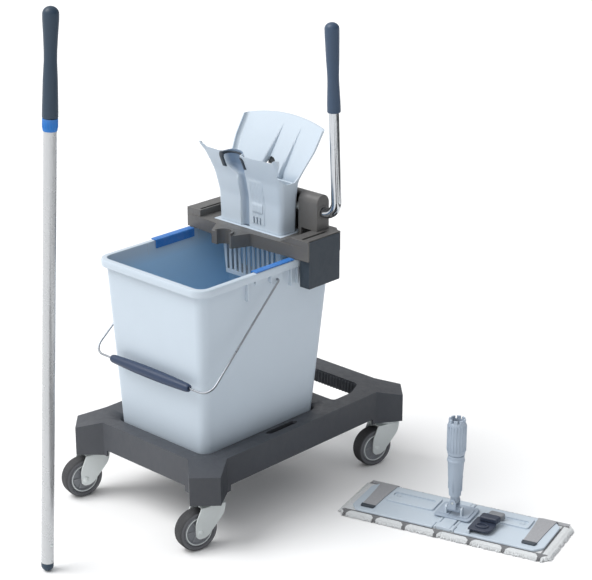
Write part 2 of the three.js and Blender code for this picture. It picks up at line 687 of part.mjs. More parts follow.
function makeLeverTube() {
  const top = new THREE.Vector3(0, -Math.sin(LEVER_LEAN), Math.cos(LEVER_LEAN));
  top.multiplyScalar(LEVER_GRIP_END - 8).add(new THREE.Vector3(LEVER_X, SHAFT_Y, SHAFT_Z));
  const points = [
    new THREE.Vector3(140 + GAP, SHAFT_Y, SHAFT_Z),
    new THREE.Vector3(LEVER_X, SHAFT_Y, SHAFT_Z),
    top,
  ];
  return sweep(bentPath(points, 29), 30, LEVER_RADIUS, 12, LEVER_RADIUS - 1.5);
}

// A waisted hand grip with a closed, rounded top, over a tube of the given radius.
function makeGrip(length, lower, waist, upper, bore, waistAt) {
  const profile = [
    [bore, 0], [lower - 1, 0], [lower, 3], [lower, length * 0.08],
    [waist, length * (waistAt - 0.04)], [waist, length * (waistAt + 0.04)],
    [upper, length * 0.86], [upper, length - 9], [upper - 3, length - 2], [0, length], [0, length - 6],
    [bore, length - 6], [bore, 0],
  ];
  return turned(profile, 20);
}

function addWringer(parent) {
  add(parent, 'wringer_carrier', makeCarrier(), taupePlastic);
  add(parent, 'hook_left', makeLeftHook(), slatePlastic);
  add(parent, 'hook_right', makeRightHook(), slatePlastic);
  add(parent, 'wringer_hopper', makeHopper(), palePlastic);
  add(parent, 'hopper_saddle', makeSaddle(), slatePlastic);
  add(parent, 'strainer_basket', makeBasket(), palePlastic);
  add(parent, 'shaft_housing', makeShaftHousing(), taupePlastic);
  add(parent, 'drive_shaft', rodX(SHAFT_RADIUS, -97, 152, SHAFT_Y, SHAFT_Z), zincSteel);
  add(parent, 'press_cam_left', makeCam().translate(-CAM_X, 0, 0), navyPlastic);
  add(parent, 'press_cam_right', makeCam().translate(CAM_X, 0, 0), navyPlastic);
  add(parent, 'return_spring', makeReturnSpring(), zincSteel);
  add(parent, 'press_plate', block(-75.5, 75.5, 61.5, 66.5, 518, 606), palePlastic);
  add(parent, 'lever_tube', makeLeverTube(), chrome);
  const lever = new THREE.Group();
  lever.position.set(LEVER_X, SHAFT_Y, SHAFT_Z);
  lever.rotation.x = LEVER_LEAN;
  parent.add(lever);
  const gripLength = LEVER_GRIP_END - LEVER_GRIP_START;
  const grip = makeGrip(gripLength, 12.5, 10.8, 13.5, LEVER_RADIUS + GAP, 0.4);
  add(lever, 'lever_grip', grip.translate(0, 0, LEVER_GRIP_START), slateGrip);
}

// ---- Pole ---------------------------------------------------------------------------

// The pole stands on the round end of its plug, whose centre is the group's origin.
function addPole(parent) {
  const pole = new THREE.Group();
  pole.position.set(POLE_FOOT.x, POLE_FOOT.y, POLE_TUBE_RADIUS);
  pole.quaternion.setFromUnitVectors(new THREE.Vector3(0, 0, 1), POLE_LEAN.clone().normalize());
  parent.add(pole);

  const end = POLE_LENGTH - POLE_TUBE_RADIUS;
  const gripStart = end - POLE_GRIP_LENGTH;
  const tubeEnd = POLE_TUBE_END - POLE_TUBE_RADIUS;
  const buttonHeight = 42;
  const bore = POLE_INNER_RADIUS + 0.4;
  const tube = turned(sleeveProfile([[POLE_TUBE_RADIUS, 6], [POLE_TUBE_RADIUS, tubeEnd]], bore));
  const buttonHole = rodX(3.6, 5, 15, 0, buttonHeight, 12);
  add(pole, 'pole_outer_tube', cut(tube, buttonHole), aluminium);

  const cap = [];
  for (let i = 0; i <= 4; i += 1) {
    const angle = (i / 4) * (Math.PI / 2);
    cap.push([POLE_TUBE_RADIUS * Math.sin(angle), -POLE_TUBE_RADIUS * Math.cos(angle)]);
  }
  const plugRadius = bore - GAP;
  const plug = [...cap, [POLE_TUBE_RADIUS, 6 - GAP], [plugRadius, 6 - GAP], [plugRadius, 30], [0, 30]];
  add(pole, 'pole_end_plug', turned(plug, 20), darkGrip);

  const button = join(rodX(3.2, 6, 13, 0, buttonHeight, 12), rodX(5, 6, 8, 0, buttonHeight, 12));
  add(pole, 'pole_snap_button', button, zincSteel);

  const collarBore = POLE_INNER_RADIUS + GAP;
  const overlap = 9;
  const collar = turned([
    [POLE_TUBE_RADIUS + GAP, tubeEnd - overlap], [12.1, tubeEnd - overlap], [13.2, tubeEnd + 2],
    [13.4, gripStart - 2 * GAP], [collarBore, gripStart - 2 * GAP], [collarBore, tubeEnd + GAP],
    [POLE_TUBE_RADIUS + GAP, tubeEnd + GAP],
    [POLE_TUBE_RADIUS + GAP, tubeEnd - overlap],
  ]);
  add(pole, 'pole_lock_collar', collar, bluePlastic);

  const innerBore = POLE_INNER_RADIUS - 1.3;
  const inner = sleeveProfile([[POLE_INNER_RADIUS, 52], [POLE_INNER_RADIUS, end - 7]], innerBore);
  add(pole, 'pole_inner_tube', turned(inner), aluminium);
  const grip = makeGrip(POLE_GRIP_LENGTH, 13.5, 10.9, 13.8, POLE_INNER_RADIUS + GAP, 0.56);
  add(pole, 'pole_grip', grip.translate(0, 0, gripStart), darkGrip);
}

// ---- Mop head -----------------------------------------------------------------------

function turnedRound(geometry) {
  return geometry.rotateZ(Math.PI);
}

function mirrored(geometry) {
  return join(geometry.scale(-1, 1, 1));
}

function knuckle(y0, y1) {
  return rodY(KNUCKLE_RADIUS, y0, y1, FOLD_X, FOLD_Z, 12);
}

function makeCentrePlate() {
  const spine = block(-12.5, 12.5, -58, 58, WING_BOTTOM, 15.6);
  const deck = prism(roundedOutline(rectangle(-36, 36, -21, 37), 7), 15.4, 18.8);
  const pieces = [spine, deck];
  for (const side of [-1, 1]) {
    for (const [y0, y1] of [[-58, -40], [-9, 9], [40, 58]]) {
      const barrel = knuckle(y0, y1);
      const web = block(11, FOLD_X, y0, y1, FOLD_Z - 2.5, FOLD_Z + 2.5);
      pieces.push(side > 0 ? barrel : turnedRound(barrel));
      pieces.push(side > 0 ? web : turnedRound(web));
    }
    const lug = join(
      block(side * 15.5 - 2, side * 15.5 + 2, JOINT_Y - 6, JOINT_Y + 6, 18, TILT_Z),
      rodX(6, side * 15.5 - 2, side * 15.5 + 2, JOINT_Y, TILT_Z),
    );
    pieces.push(lug);
  }
  const foldBores = [-FOLD_X, FOLD_X].map((x) => rodY(1.7, -60, 60, x, FOLD_Z, 8));
  return cut(join(...pieces), ...foldBores, rodX(2.6, -20, 20, JOINT_Y, TILT_Z, 12));
}

// The right wing, with a raised panel and its long recess; the left one is its mirror image.
function makeWing(withPedalLugs) {
  const plan = [[21, -WING_HALF_WIDTH], [WING_END - 14, -WING_HALF_WIDTH], [WING_END, -WING_HALF_WIDTH + 16],
    [WING_END, WING_HALF_WIDTH - 16], [WING_END - 14, WING_HALF_WIDTH], [21, WING_HALF_WIDTH]];
  const plate = prism(roundedOutline(plan, 5), WING_BOTTOM, WING_TOP);
  const pieces = [plate];
  for (const [y0, y1] of [[-39.5, -9.5], [9.5, 39.5]]) {
    pieces.push(knuckle(y0, y1), block(FOLD_X, 23, y0, y1, FOLD_Z - 2.5, WING_TOP));
  }
  const panelFront = withPedalLugs ? 8 : -4;
  const panel = cut(
    prism(roundedOutline(rectangle(44, 142, panelFront, 47), 5), WING_TOP - 1, WING_TOP + 3.5),
    prism(roundedOutline(rectangle(52, 136, 17, 33), 4), WING_TOP + 0.8, WING_TOP + 5),
  );
  pieces.push(panel);
  if (withPedalLugs) {
    pieces.push(block(44, 51, -58, -53.5, WING_TOP - 1, 21), block(44, 51, 1, 5.5, WING_TOP - 1, 21));
  }
  const bores = [rodY(1.7, -60, 60, FOLD_X, FOLD_Z, 8)];
  if (withPedalLugs) {
    bores.push(rodY(1.7, -60, 8, 47.5, 18, 8));
  }
  return cut(join(...pieces), ...bores);
}

function makePedal() {
  const plan = roundedOutline(rectangle(45.5, 88, -52.5, 0), 6);
  const plate = cut(prism(plan, 19.5, 23), prism(roundedOutline(rectangle(58, 72, -34, -18), 4), 10, 30));
  return cut(join(plate, rodY(3, -52.5, 0, 47.5, 18, 12)), rodY(1.7, -60, 8, 47.5, 18, 8));
}

function makeYoke() {
  const barrel = rodX(6, -12.8, 12.8, JOINT_Y, TILT_Z);
  const bridge = block(-7, 7, JOINT_Y - 12, JOINT_Y + 12, TILT_Z + 2.5, TILT_Z + 7);
  const cheeks = [-1, 1].map((side) => {
    const y = JOINT_Y + side * 10;
    return join(
      block(-7, 7, y - 2, y + 2, TILT_Z + 2.5, SWING_Z),
      rodY(7, y - 2, y + 2, 0, SWING_Z, 16),
    );
  });
  return cut(
    join(barrel, bridge, ...cheeks),
    rodX(2.6, -15, 15, JOINT_Y, TILT_Z, 12),
    rodY(2.6, JOINT_Y - 15, JOINT_Y + 15, 0, SWING_Z, 12),
  );
}

function makeSocket() {
  const tongue = join(
    rodY(6.5, JOINT_Y - 7.4, JOINT_Y + 7.4, 0, SWING_Z, 16),
    block(-6.5, 6.5, JOINT_Y - 7.4, JOINT_Y + 7.4, SWING_Z, SWING_Z + 18),
  );
  const tube = turned([
    [0, 58], [11, 58], [13, 75], [16, 134], [16, 142], [14, 142], [14, 196], [11.7, 196], [11.7, 80], [0, 80],
  ]).translate(0, JOINT_Y, 0);
  return cut(join(tongue, tube), rodY(2.6, JOINT_Y - 10, JOINT_Y + 10, 0, SWING_Z, 12));
}

// The clamping sleeve, gripped by raised ribs all round.
function makeSleeve() {
  const body = turned([
    [14 + GAP, 144], [16.5, 144], [17, 148], [17, SOCKET_TOP - 3], [15.5, SOCKET_TOP], [11.7, SOCKET_TOP],
    [11.7, 198], [14 + GAP, 198], [14 + GAP, 144],
  ]).translate(0, JOINT_Y, 0);
  const ribs = [];
  for (let i = 0; i < 12; i += 1) {
    const rib = block(15.5, 18.2, -1.2, 1.2, 150, SOCKET_TOP - 8);
    ribs.push(rib.rotateZ((i / 12) * 2 * Math.PI).translate(0, JOINT_Y, 0));
  }
  return join(body, ...ribs);
}

// Half of the pad, from beside the fold line to its rounded outer corners.
function makePadHalf() {
  const inner = FOLD_X + 4.5;
  const outer = PAD_HALF_LENGTH;
  const corner = 14;
  const plan = new THREE.Shape();
  plan.moveTo(inner, -PAD_HALF_WIDTH);
  plan.lineTo(outer - corner, -PAD_HALF_WIDTH);
  plan.absarc(outer - corner, -PAD_HALF_WIDTH + corner, corner, -Math.PI / 2, 0);
  plan.absarc(outer - corner, PAD_HALF_WIDTH - corner, corner, 0, Math.PI / 2);
  plan.lineTo(inner, PAD_HALF_WIDTH);
  plan.closePath();
  return prism(plan, 0, PAD_TOP);
}

// A band from the pad's back edge, up over the wing, to a stiff tab short of the front.
function makeStrap() {
  const top = WING_TOP + 0.4;
  const side = WING_HALF_WIDTH + 0.5;
  const thick = 1.6;
  const profile = outline([
    [STRAP_FRONT, top], [side, top], [side, PAD_TOP + GAP], [side + thick, PAD_TOP + GAP],
    [side + thick, top + thick], [STRAP_FRONT, top + thick],
  ]);
  return sidePrism(profile, 148, 176);
}

function addMopHead(parent) {
  const mop = new THREE.Group();
  mop.position.set(MOP_CENTRE.x, MOP_CENTRE.y, 0);
  mop.rotation.z = MOP_TURN;
  parent.add(mop);
  add(mop, 'mop_centre_plate', makeCentrePlate(), palePlastic);
  add(mop, 'mop_wing_right', makeWing(true), palePlastic);
  add(mop, 'mop_wing_left', mirrored(makeWing(false)), palePlastic);
  add(mop, 'fold_pin_right', rodY(1.4, -57.5, 57.5, FOLD_X, FOLD_Z, 8), zincSteel);
  add(mop, 'fold_pin_left', rodY(1.4, -57.5, 57.5, -FOLD_X, FOLD_Z, 8), zincSteel);
  add(mop, 'release_pedal', makePedal(), navyPlastic);
  add(mop, 'pedal_pin', rodY(1.4, -57.5, 5, 47.5, 18, 8), zincSteel);
  add(mop, 'joint_yoke', makeYoke(), greyPlastic);
  add(mop, 'tilt_pin', rodX(2.3, -17, 17, JOINT_Y, TILT_Z, 12), zincSteel);
  add(mop, 'swing_pin', rodY(2.3, JOINT_Y - 11.8, JOINT_Y + 11.8, 0, SWING_Z, 12), zincSteel);
  add(mop, 'pole_socket', makeSocket(), greyPlastic);
  add(mop, 'socket_sleeve', makeSleeve(), greyPlastic);
  add(mop, 'pad_right', makePadHalf(), mopFabric);
  add(mop, 'pad_left', turnedRound(makePadHalf()), mopFabric);
  add(mop, 'pad_centre', block(-4.4, 4.4, -PAD_HALF_WIDTH, PAD_HALF_WIDTH, 0, PAD_TOP), mopFabric);
  add(mop, 'pad_strap_right', makeStrap(), strapFabric);
  add(mop, 'pad_strap_left', makeStrap().translate(-324, 0, 0), strapFabric);
}

// ---- The set ------------------------------------------------------------------------

const set = new THREE.Group();
const trolley = new THREE.Group();
trolley.position.set(TROLLEY_IN_SET.x, TROLLEY_IN_SET.y, 0);
set.add(trolley);
add(trolley, 'chassis', makeChassis(), graphitePlastic);
addCasters(trolley);
add(trolley, 'bucket', makeBucket(), palePlastic);
add(trolley, 'rim_clip_left', makeRimClip(-1), bluePlastic);
add(trolley, 'rim_clip_right', makeRimClip(1), bluePlastic);
add(trolley, 'bail_wire', makeBailWire(), zincSteel);
add(trolley, 'bail_grip', makeBailGrip(), slateGrip);
addWringer(trolley);
addPole(trolley);
addMopHead(trolley);

export default set;
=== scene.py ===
"""Looks of a cleaning set: a trolley with a bucket and a press wringer, a telescopic pole
and a folding flat mop head. Shapes are drawn in millimetres in each item's own frame, and
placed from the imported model."""

import math
import random

import bmesh
import bpy
import numpy as np
from mathutils import Matrix, Quaternion, Vector, noise


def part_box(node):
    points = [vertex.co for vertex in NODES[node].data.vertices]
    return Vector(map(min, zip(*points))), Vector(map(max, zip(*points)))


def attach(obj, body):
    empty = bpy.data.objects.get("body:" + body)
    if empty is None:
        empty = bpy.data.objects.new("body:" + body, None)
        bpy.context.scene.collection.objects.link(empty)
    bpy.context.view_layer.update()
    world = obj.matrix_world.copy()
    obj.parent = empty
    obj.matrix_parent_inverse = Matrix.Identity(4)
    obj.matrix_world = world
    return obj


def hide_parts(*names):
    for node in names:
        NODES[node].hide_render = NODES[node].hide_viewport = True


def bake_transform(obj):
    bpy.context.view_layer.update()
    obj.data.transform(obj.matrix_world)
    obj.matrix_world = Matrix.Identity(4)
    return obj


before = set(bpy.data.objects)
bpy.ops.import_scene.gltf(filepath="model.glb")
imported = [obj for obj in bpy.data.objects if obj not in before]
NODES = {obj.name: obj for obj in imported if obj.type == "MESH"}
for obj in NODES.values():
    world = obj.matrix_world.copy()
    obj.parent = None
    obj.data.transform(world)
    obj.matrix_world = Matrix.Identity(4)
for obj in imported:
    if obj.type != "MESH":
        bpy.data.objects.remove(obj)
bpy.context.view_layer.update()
SCENE = bpy.context.scene
MM = 0.001

# ---- Frames of the items ---------------------------------------------------------------


def turned_by(degrees, axis):
    return Matrix.Rotation(math.radians(degrees), 4, axis)


chassis_low, chassis_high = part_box("chassis")
middle = (chassis_low + chassis_high) / 2
TROLLEY = Matrix.Translation((middle.x, middle.y, 0)) @ Matrix.Scale(MM, 4)
POLE_AXIS = Vector((0.0381, 0.0359, 0.9986)).normalized()
POLE = TROLLEY @ Matrix.Translation((18, -513, 11.25)) @ Vector((0, 0, 1)).rotation_difference(
    POLE_AXIS
).to_matrix().to_4x4()
MOP = TROLLEY @ Matrix.Translation((432, 131, 0)) @ turned_by(16.1, "Z")
LEVER = TROLLEY @ Matrix.Translation((174, 78, 559)) @ turned_by(2.7, "X")
CASTERS = {
    "front_left": (-1, -1),
    "front_right": (1, -1),
    "rear_left": (-1, 1),
    "rear_right": (1, 1),
}

# ---- Camera ----------------------------------------------------------------------------

CAMERA_BACK = Vector((0.6427, -0.6820, 0.3491)).normalized()
CAMERA_DISTANCE = 3500
LOOK_AT = Vector((76.4, 72.0, 390.6))


def make_camera():
    data = bpy.data.cameras.new("camera")
    data.sensor_width = 36
    data.lens = 1831.6 / 592 * 36
    data.clip_end = 100
    camera = bpy.data.objects.new("camera", data)
    SCENE.collection.objects.link(camera)
    camera.location = TROLLEY @ (LOOK_AT + CAMERA_BACK * CAMERA_DISTANCE)
    camera.rotation_mode = "QUATERNION"
    camera.rotation_quaternion = (-CAMERA_BACK).to_track_quat("-Z", "Y")
    SCENE.camera = camera


make_camera()

# ---- Materials -------------------------------------------------------------------------


def linear(red, green, blue):
    """A colour given as 0 to 255 per channel on screen, in linear light."""
    scaled = [c / 255 for c in (red, green, blue)]
    return [c / 12.92 if c <= 0.04045 else ((c + 0.055) / 1.055) ** 2.4 for c in scaled] + [1.0]


def shade_of(colour, factor):
    return [min(1.0, c * factor) for c in colour[:3]] + [1.0]


class Finish:
    """A material under construction: small helpers round its node tree."""

    def __init__(self, name, roughness=0.5, metallic=0.0):
        self.material = bpy.data.materials.new(name)
        self.material.use_nodes = True
        self.tree = self.material.node_tree
        self.shader = self.tree.nodes["Principled BSDF"]
        self.shader.inputs["Roughness"].default_value = roughness
        self.shader.inputs["Metallic"].default_value = metallic
        self.place = self.tree.nodes.new("ShaderNodeTexCoord").outputs["Object"]

    def link(self, output, socket):
        self.tree.links.new(output, socket)

    def scaled(self, x, y, z):
        node = self.tree.nodes.new("ShaderNodeMapping")
        node.inputs["Scale"].default_value = (x, y, z)
        self.link(self.place, node.inputs["Vector"])
        return node.outputs["Vector"]

    def noise(self, scale, detail=3, vector=None, roughness=0.5, distortion=0.0):
        node = self.tree.nodes.new("ShaderNodeTexNoise")
        node.inputs["Scale"].default_value = scale
        node.inputs["Detail"].default_value = detail
        node.inputs["Roughness"].default_value = roughness
        node.inputs["Distortion"].default_value = distortion
        self.link(vector or self.place, node.inputs["Vector"])
        return node.outputs["Fac"]

    def cells(self, scale, vector=None, feature="F1"):
        node = self.tree.nodes.new("ShaderNodeTexVoronoi")
        node.feature = feature
        node.inputs["Scale"].default_value = scale
        self.link(vector or self.place, node.inputs["Vector"])
        return node.outputs["Distance"]

    def ranged(self, value, low, high, to_low, to_high):
        node = self.tree.nodes.new("ShaderNodeMapRange")
        inputs = node.inputs
        for socket, number in zip(inputs[1:5], (low, high, to_low, to_high)):
            socket.default_value = number
        self.link(value, inputs[0])
        return node.outputs["Result"]

    def math(self, operation, a, b):
        node = self.tree.nodes.new("ShaderNodeMath")
        node.operation = operation
        for socket, value in zip(node.inputs, (a, b)):
            if isinstance(value, (int, float)):
                socket.default_value = value
            else:
                self.link(value, socket)
        return node.outputs["Value"]

    def mixed(self, factor, a, b):
        node = self.tree.nodes.new("ShaderNodeMix")
        node.data_type = "RGBA"
        self.link(factor, node.inputs["Factor"])
        colour_inputs = [s for s in node.inputs if s.type == "RGBA"]
        for socket, value in zip(colour_inputs, (a, b)):
            if isinstance(value, (list, tuple)):
                socket.default_value = value
            else:
                self.link(value, socket)
        return next(s for s in node.outputs if s.type == "RGBA")

    def bump(self, height, strength, distance, normal=None):
        node = self.tree.nodes.new("ShaderNodeBump")
        node.inputs["Strength"].default_value = strength
        node.inputs["Distance"].default_value = distance
        self.link(height, node.inputs["Height"])
        if normal is not None:
            self.link(normal, node.inputs["Normal"])
        self.link(node.outputs["Normal"], self.shader.inputs["Normal"])
        return node.outputs["Normal"]

    def edges(self, low, high):
        """1 along outward edges and 0 elsewhere."""
        geometry = self.tree.nodes.new("ShaderNodeNewGeometry")
        return self.ranged(geometry.outputs["Pointiness"], low, high, 0, 1)

    def attribute(self, name):
        node = self.tree.nodes.new("ShaderNodeAttribute")
        node.attribute_name = name
        return node.outputs["Fac"]

    def roughened(self, value):
        self.link(value, self.shader.inputs["Roughness"])

    def coloured(self, colour):
        self.link(colour, self.shader.inputs["Base Color"])
        return self.material


def moulded_plastic(
    name, colour, roughness, grain=0.12, mottle=0.06, wear=0.25, grain_scale=1500, hollow=0.0,
    shade_tint=(78, 108, 142),
):
    """Injection-moulded plastic: fine spark grain, faint flow clouds, handling scuffs.
    hollow is how strongly the "shade" attribute paints shade on it, in the colour shade_tint."""
    m = Finish(name, roughness)
    clouds = m.noise(9, 4, distortion=0.6)
    fine = m.noise(grain_scale, 2)
    scuffs = m.noise(38, 5, m.scaled(1, 1, 0.6), 0.72, 1.5)
    base = m.mixed(clouds, shade_of(colour, 1 - mottle), shade_of(colour, 1 + mottle))
    speck = m.ranged(m.noise(420, 2), 0.62, 0.75, 0, 0.22)
    base = m.mixed(speck, base, shade_of(colour, 0.82))
    worn = m.math("MULTIPLY", m.edges(0.52, 0.6), m.ranged(scuffs, 0.4, 0.62, 0.1, wear))
    lighter = [c * 0.6 + 0.4 * 0.75 for c in colour[:3]] + [1.0]
    base = m.mixed(worn, base, lighter)
    # Painted shade: where the "shade" attribute is set, the colour is mixed toward shade_tint.
    if hollow:
        depth = m.math("MULTIPLY", m.attribute("shade"), hollow)
        base = m.mixed(depth, base, linear(*shade_tint))
    m.roughened(m.ranged(scuffs, 0.35, 0.7, roughness - 0.07, roughness + 0.09))
    first = m.bump(fine, grain, 0.00025)
    m.bump(scuffs, 0.05, 0.0006, first)
    return m.coloured(base)


def tyre_rubber(name, colour):
    """Grey rubber, darker on the tread, which the "tread" attribute marks."""
    m = Finish(name, 0.72)
    dust = m.noise(45, 6, roughness=0.7)
    base = m.mixed(dust, shade_of(colour, 0.82), shade_of(colour, 1.16))
    base = m.mixed(m.attribute("tread"), base, shade_of(colour, 0.3))
    base = m.mixed(m.ranged(m.noise(900, 2), 0.58, 0.72, 0, 0.3), base, shade_of(colour, 1.5))
    m.roughened(m.ranged(dust, 0.3, 0.7, 0.62, 0.85))
    m.bump(m.noise(1300, 3), 0.3, 0.0003)
    return m.coloured(base)


def brushed_metal(name, colour, roughness, along=(1, 1, 0.02), strength=0.08, metallic=1.0, spots=0.0):
    """Drawn or brushed metal: hairlines along the part, faint stains."""
    m = Finish(name, roughness, metallic)
    hairlines = m.noise(2600, 2, m.scaled(*along))
    stains = m.noise(30, 5, roughness=0.65)
    base = m.mixed(stains, shade_of(colour, 0.9), shade_of(colour, 1.06))
    base = m.mixed(m.ranged(hairlines, 0.3, 0.7, 0, 0.35), base, shade_of(colour, 0.78))
    if spots:
        spot = m.ranged(m.cells(260), 0.0, 0.16, spots, 0)
        base = m.mixed(spot, base, shade_of(colour, 0.45))
    m.roughened(m.math("ADD", m.ranged(stains, 0.3, 0.7, 0, 0.1), roughness - 0.03))
    m.bump(hairlines, strength, 0.0002)
    return m.coloured(base)


def soft_grip(name, colour):
    """Soft-touch grip: matt, with a fine leathery grain and shiny handled patches."""
    m = Finish(name, 0.55)
    clouds = m.noise(22, 4)
    base = m.mixed(clouds, shade_of(colour, 0.86), shade_of(colour, 1.14))
    grain = m.cells(1100)
    base = m.mixed(m.ranged(grain, 0.2, 0.6, 0.2, 0), base, shade_of(colour, 1.6))
    m.roughened(m.ranged(clouds, 0.3, 0.7, 0.34, 0.5))
    m.bump(grain, 0.22, 0.0003)
    return m.coloured(base)


def microfibre(name, light, dark):
    """Looped microfibre: white pile with grey bands where the "band" attribute says."""
    m = Finish(name, 0.95)
    m.shader.inputs["Sheen Weight"].default_value = 0.35
    m.shader.inputs["Sheen Roughness"].default_value = 0.6
    loops = m.cells(620)
    clumps = m.noise(150, 4, roughness=0.7)
    white = m.mixed(clumps, shade_of(light, 0.8), shade_of(light, 1.04))
    white = m.mixed(m.ranged(loops, 0.25, 0.75, 0, 0.35), white, shade_of(light, 0.68))
    grey = m.mixed(clumps, shade_of(dark, 0.75), shade_of(dark, 1.3))
    band = m.math("ADD", m.attribute("band"), m.ranged(clumps, 0.3, 0.7, -0.22, 0.22))
    base = m.mixed(m.ranged(band, 0.42, 0.58, 0, 1), white, grey)
    first = m.bump(loops, 0.8, 0.0012)
    m.bump(clumps, 0.5, 0.002, first)
    return m.coloured(base)


def woven_strap(name, colour, angle):
    """Webbing: two crossed sets of threads, aligned with the strap."""
    m = Finish(name, 0.9)
    m.shader.inputs["Sheen Weight"].default_value = 0.25
    turn = m.tree.nodes.new("ShaderNodeMapping")
    turn.inputs["Rotation"].default_value = (0, 0, -math.radians(angle))
    m.link(m.place, turn.inputs["Vector"])
    waves = []
    for direction in ("X", "Y"):
        wave = m.tree.nodes.new("ShaderNodeTexWave")
        wave.bands_direction = direction
        wave.inputs["Scale"].default_value = 190
        wave.inputs["Distortion"].default_value = 0.6
        m.link(turn.outputs["Vector"], wave.inputs["Vector"])
        waves.append(wave.outputs["Fac"])
    weave = m.math("MULTIPLY", waves[0], waves[1])
    fuzz = m.noise(700, 4, roughness=0.7)
    base = m.mixed(weave, shade_of(colour, 0.66), shade_of(colour, 1.22))
    base = m.mixed(m.ranged(fuzz, 0.45, 0.75, 0, 0.5), base, shade_of(colour, 1.5))
    first = m.bump(weave, 0.6, 0.0006)
    m.bump(fuzz, 0.3, 0.0005, first)
    return m.coloured(base)


GRAPHITE = moulded_plastic("graphite_plastic", linear(66, 69, 75), 0.5, 0.22, 0.05, 0.06, 1100)
TAUPE = moulded_plastic("taupe_plastic", linear(90, 89, 88), 0.46, 0.25, 0.06, 0.06, 1100)
SLATE = moulded_plastic("slate_plastic", linear(42, 53, 64), 0.45, 0.25, 0.08, 0.06)
PALE_LOOK = (linear(190, 202, 213), 0.36, 0.12, 0.03, 0.4)
PALE = moulded_plastic("pale_plastic", *PALE_LOOK)
# Pale plastic with painted dark blue-grey shade where the "shade" attribute marks the hopper's cradle
# and channel.
PALE_PAINTED_SHADE = moulded_plastic("pale_painted_shade", *PALE_LOOK, hollow=0.75)
# Pale plastic with a painted bluish shade tone on the bucket's inner faces.
PALE_SHADED_INSIDE = moulded_plastic("pale_shaded_inside", *PALE_LOOK, hollow=1.0, shade_tint=(184, 216, 240))
BLUE = moulded_plastic("blue_plastic", linear(0, 108, 188), 0.46, 0.15, 0.07, 0.25)
HUB = moulded_plastic("hub_plastic", linear(128, 131, 136), 0.42, 0.15, 0.05, 0.3)
JOINT = moulded_plastic("joint_plastic", linear(160, 173, 188), 0.42, 0.15, 0.05, 0.3)
NAVY = moulded_plastic("navy_plastic", linear(40, 49, 68), 0.42, 0.2, 0.08, 0.3)
RUBBER = tyre_rubber("tyre_rubber", linear(96, 97, 101))
ZINC = brushed_metal("zinc_steel", linear(226, 232, 232), 0.4, (1, 1, 1), 0.08, 0.3)
WIRE = brushed_metal("wire_steel", linear(158, 162, 168), 0.28, (1, 1, 1), 0.05)
CHROME = brushed_metal("chrome_tube", linear(205, 208, 212), 0.13, (1, 1, 0.02), 0.03)
ALUMINIUM = brushed_metal("aluminium_tube", linear(200, 202, 204), 0.26, (1, 1, 0.02), 0.1, 0.55, 0.08)
SLATE_GRIP = soft_grip("slate_grip", linear(50, 70, 94))
NAVY_GRIP = soft_grip("navy_grip", linear(32, 50, 78))
DARK_GRIP = soft_grip("dark_grip", linear(36, 56, 74))
FIBRE = microfibre("mop_fabric", linear(226, 229, 231), linear(104, 105, 108))
STRAP = woven_strap("strap_fabric", linear(168, 169, 173), 16.1)

# ---- Mesh helpers ----------------------------------------------------------------------


def linked(name, data):
    obj = bpy.data.objects.new(name, data)
    SCENE.collection.objects.link(obj)
    return obj


def add_mesh(name, vertices, faces, matrix=TROLLEY):
    mesh = bpy.data.meshes.new(name)
    mesh.from_pydata([matrix @ Vector(v) for v in vertices], [], faces)
    obj = linked(name, mesh)
    tidy_faces(obj)
    return obj


def tidy_faces(obj, merge=1e-7):
    work = bmesh.new()
    work.from_mesh(obj.data)
    bmesh.ops.remove_doubles(work, verts=work.verts, dist=merge)
    bmesh.ops.recalc_face_normals(work, faces=work.faces)
    work.to_mesh(obj.data)
    work.free()


def modified(obj, kind, **settings):
    """Adds one modifier and applies it."""
    modifier = obj.modifiers.new(kind.lower(), kind)
    for key, value in settings.items():
        setattr(modifier, key, value)
    graph = bpy.context.evaluated_depsgraph_get()
    mesh = bpy.data.meshes.new_from_object(obj.evaluated_get(graph))
    obj.modifiers.clear()
    old = obj.data
    obj.data = mesh
    bpy.data.meshes.remove(old)
    return obj


def carved(obj, *cutters, solver="EXACT"):
    """Cuts the cutters' shapes out of an object, and removes them."""
    for cutter in cutters:
        modified(obj, "BOOLEAN", object=cutter, operation="DIFFERENCE", solver=solver)
        bpy.data.objects.remove(cutter)
    return obj


def marked(obj, attribute, matrix, value):
    """Gives each vertex an attribute, worked out from its place in the given frame."""
    inverse = matrix.inverted()
    values = [value(*(inverse @ vertex.co)) for vertex in obj.data.vertices]
    obj.data.attributes.new(attribute, "FLOAT", "POINT").data.foreach_set("value", values)
    return obj


def smooth(obj, angle=35):
    obj.data.shade_smooth()
    obj.data.set_sharp_from_angle(angle=math.radians(angle))
    return obj


def joined(name, *objects):
    """Several meshes made one object."""
    work = bmesh.new()
    for obj in objects:
        work.from_mesh(obj.data)
    mesh = bpy.data.meshes.new(name)
    work.to_mesh(mesh)
    work.free()
    for obj in objects:
        bpy.data.objects.remove(obj)
    return linked(name, mesh)


def placed(obj, material, body, slot, *nodes, angle=35):
    obj.data.materials.clear()
    obj.data.materials.append(material)
    smooth(obj, angle)
    modified(obj, "WEIGHTED_NORMAL", keep_sharp=True)
    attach(obj, body)
    if nodes:
        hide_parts(*nodes)
    return obj


def skin(rings, closed=True, cap_start=True, cap_end=True):
    """Vertices and faces of a body that passes through equal rings of points."""
    count = len(rings[0])
    vertices = [tuple(p) for ring in rings for p in ring]
    faces = []
    for i in range(len(rings) - 1):
        for k in range(count if closed else count - 1):
            a, b = i * count + k, i * count + (k + 1) % count
            faces.append((a, b, b + count, a + count))
    if cap_start:
        faces.append(tuple(range(count)))
    if cap_end:
        last = (len(rings) - 1) * count
        faces.append(tuple(last + k for k in reversed(range(count))))
    return vertices, faces


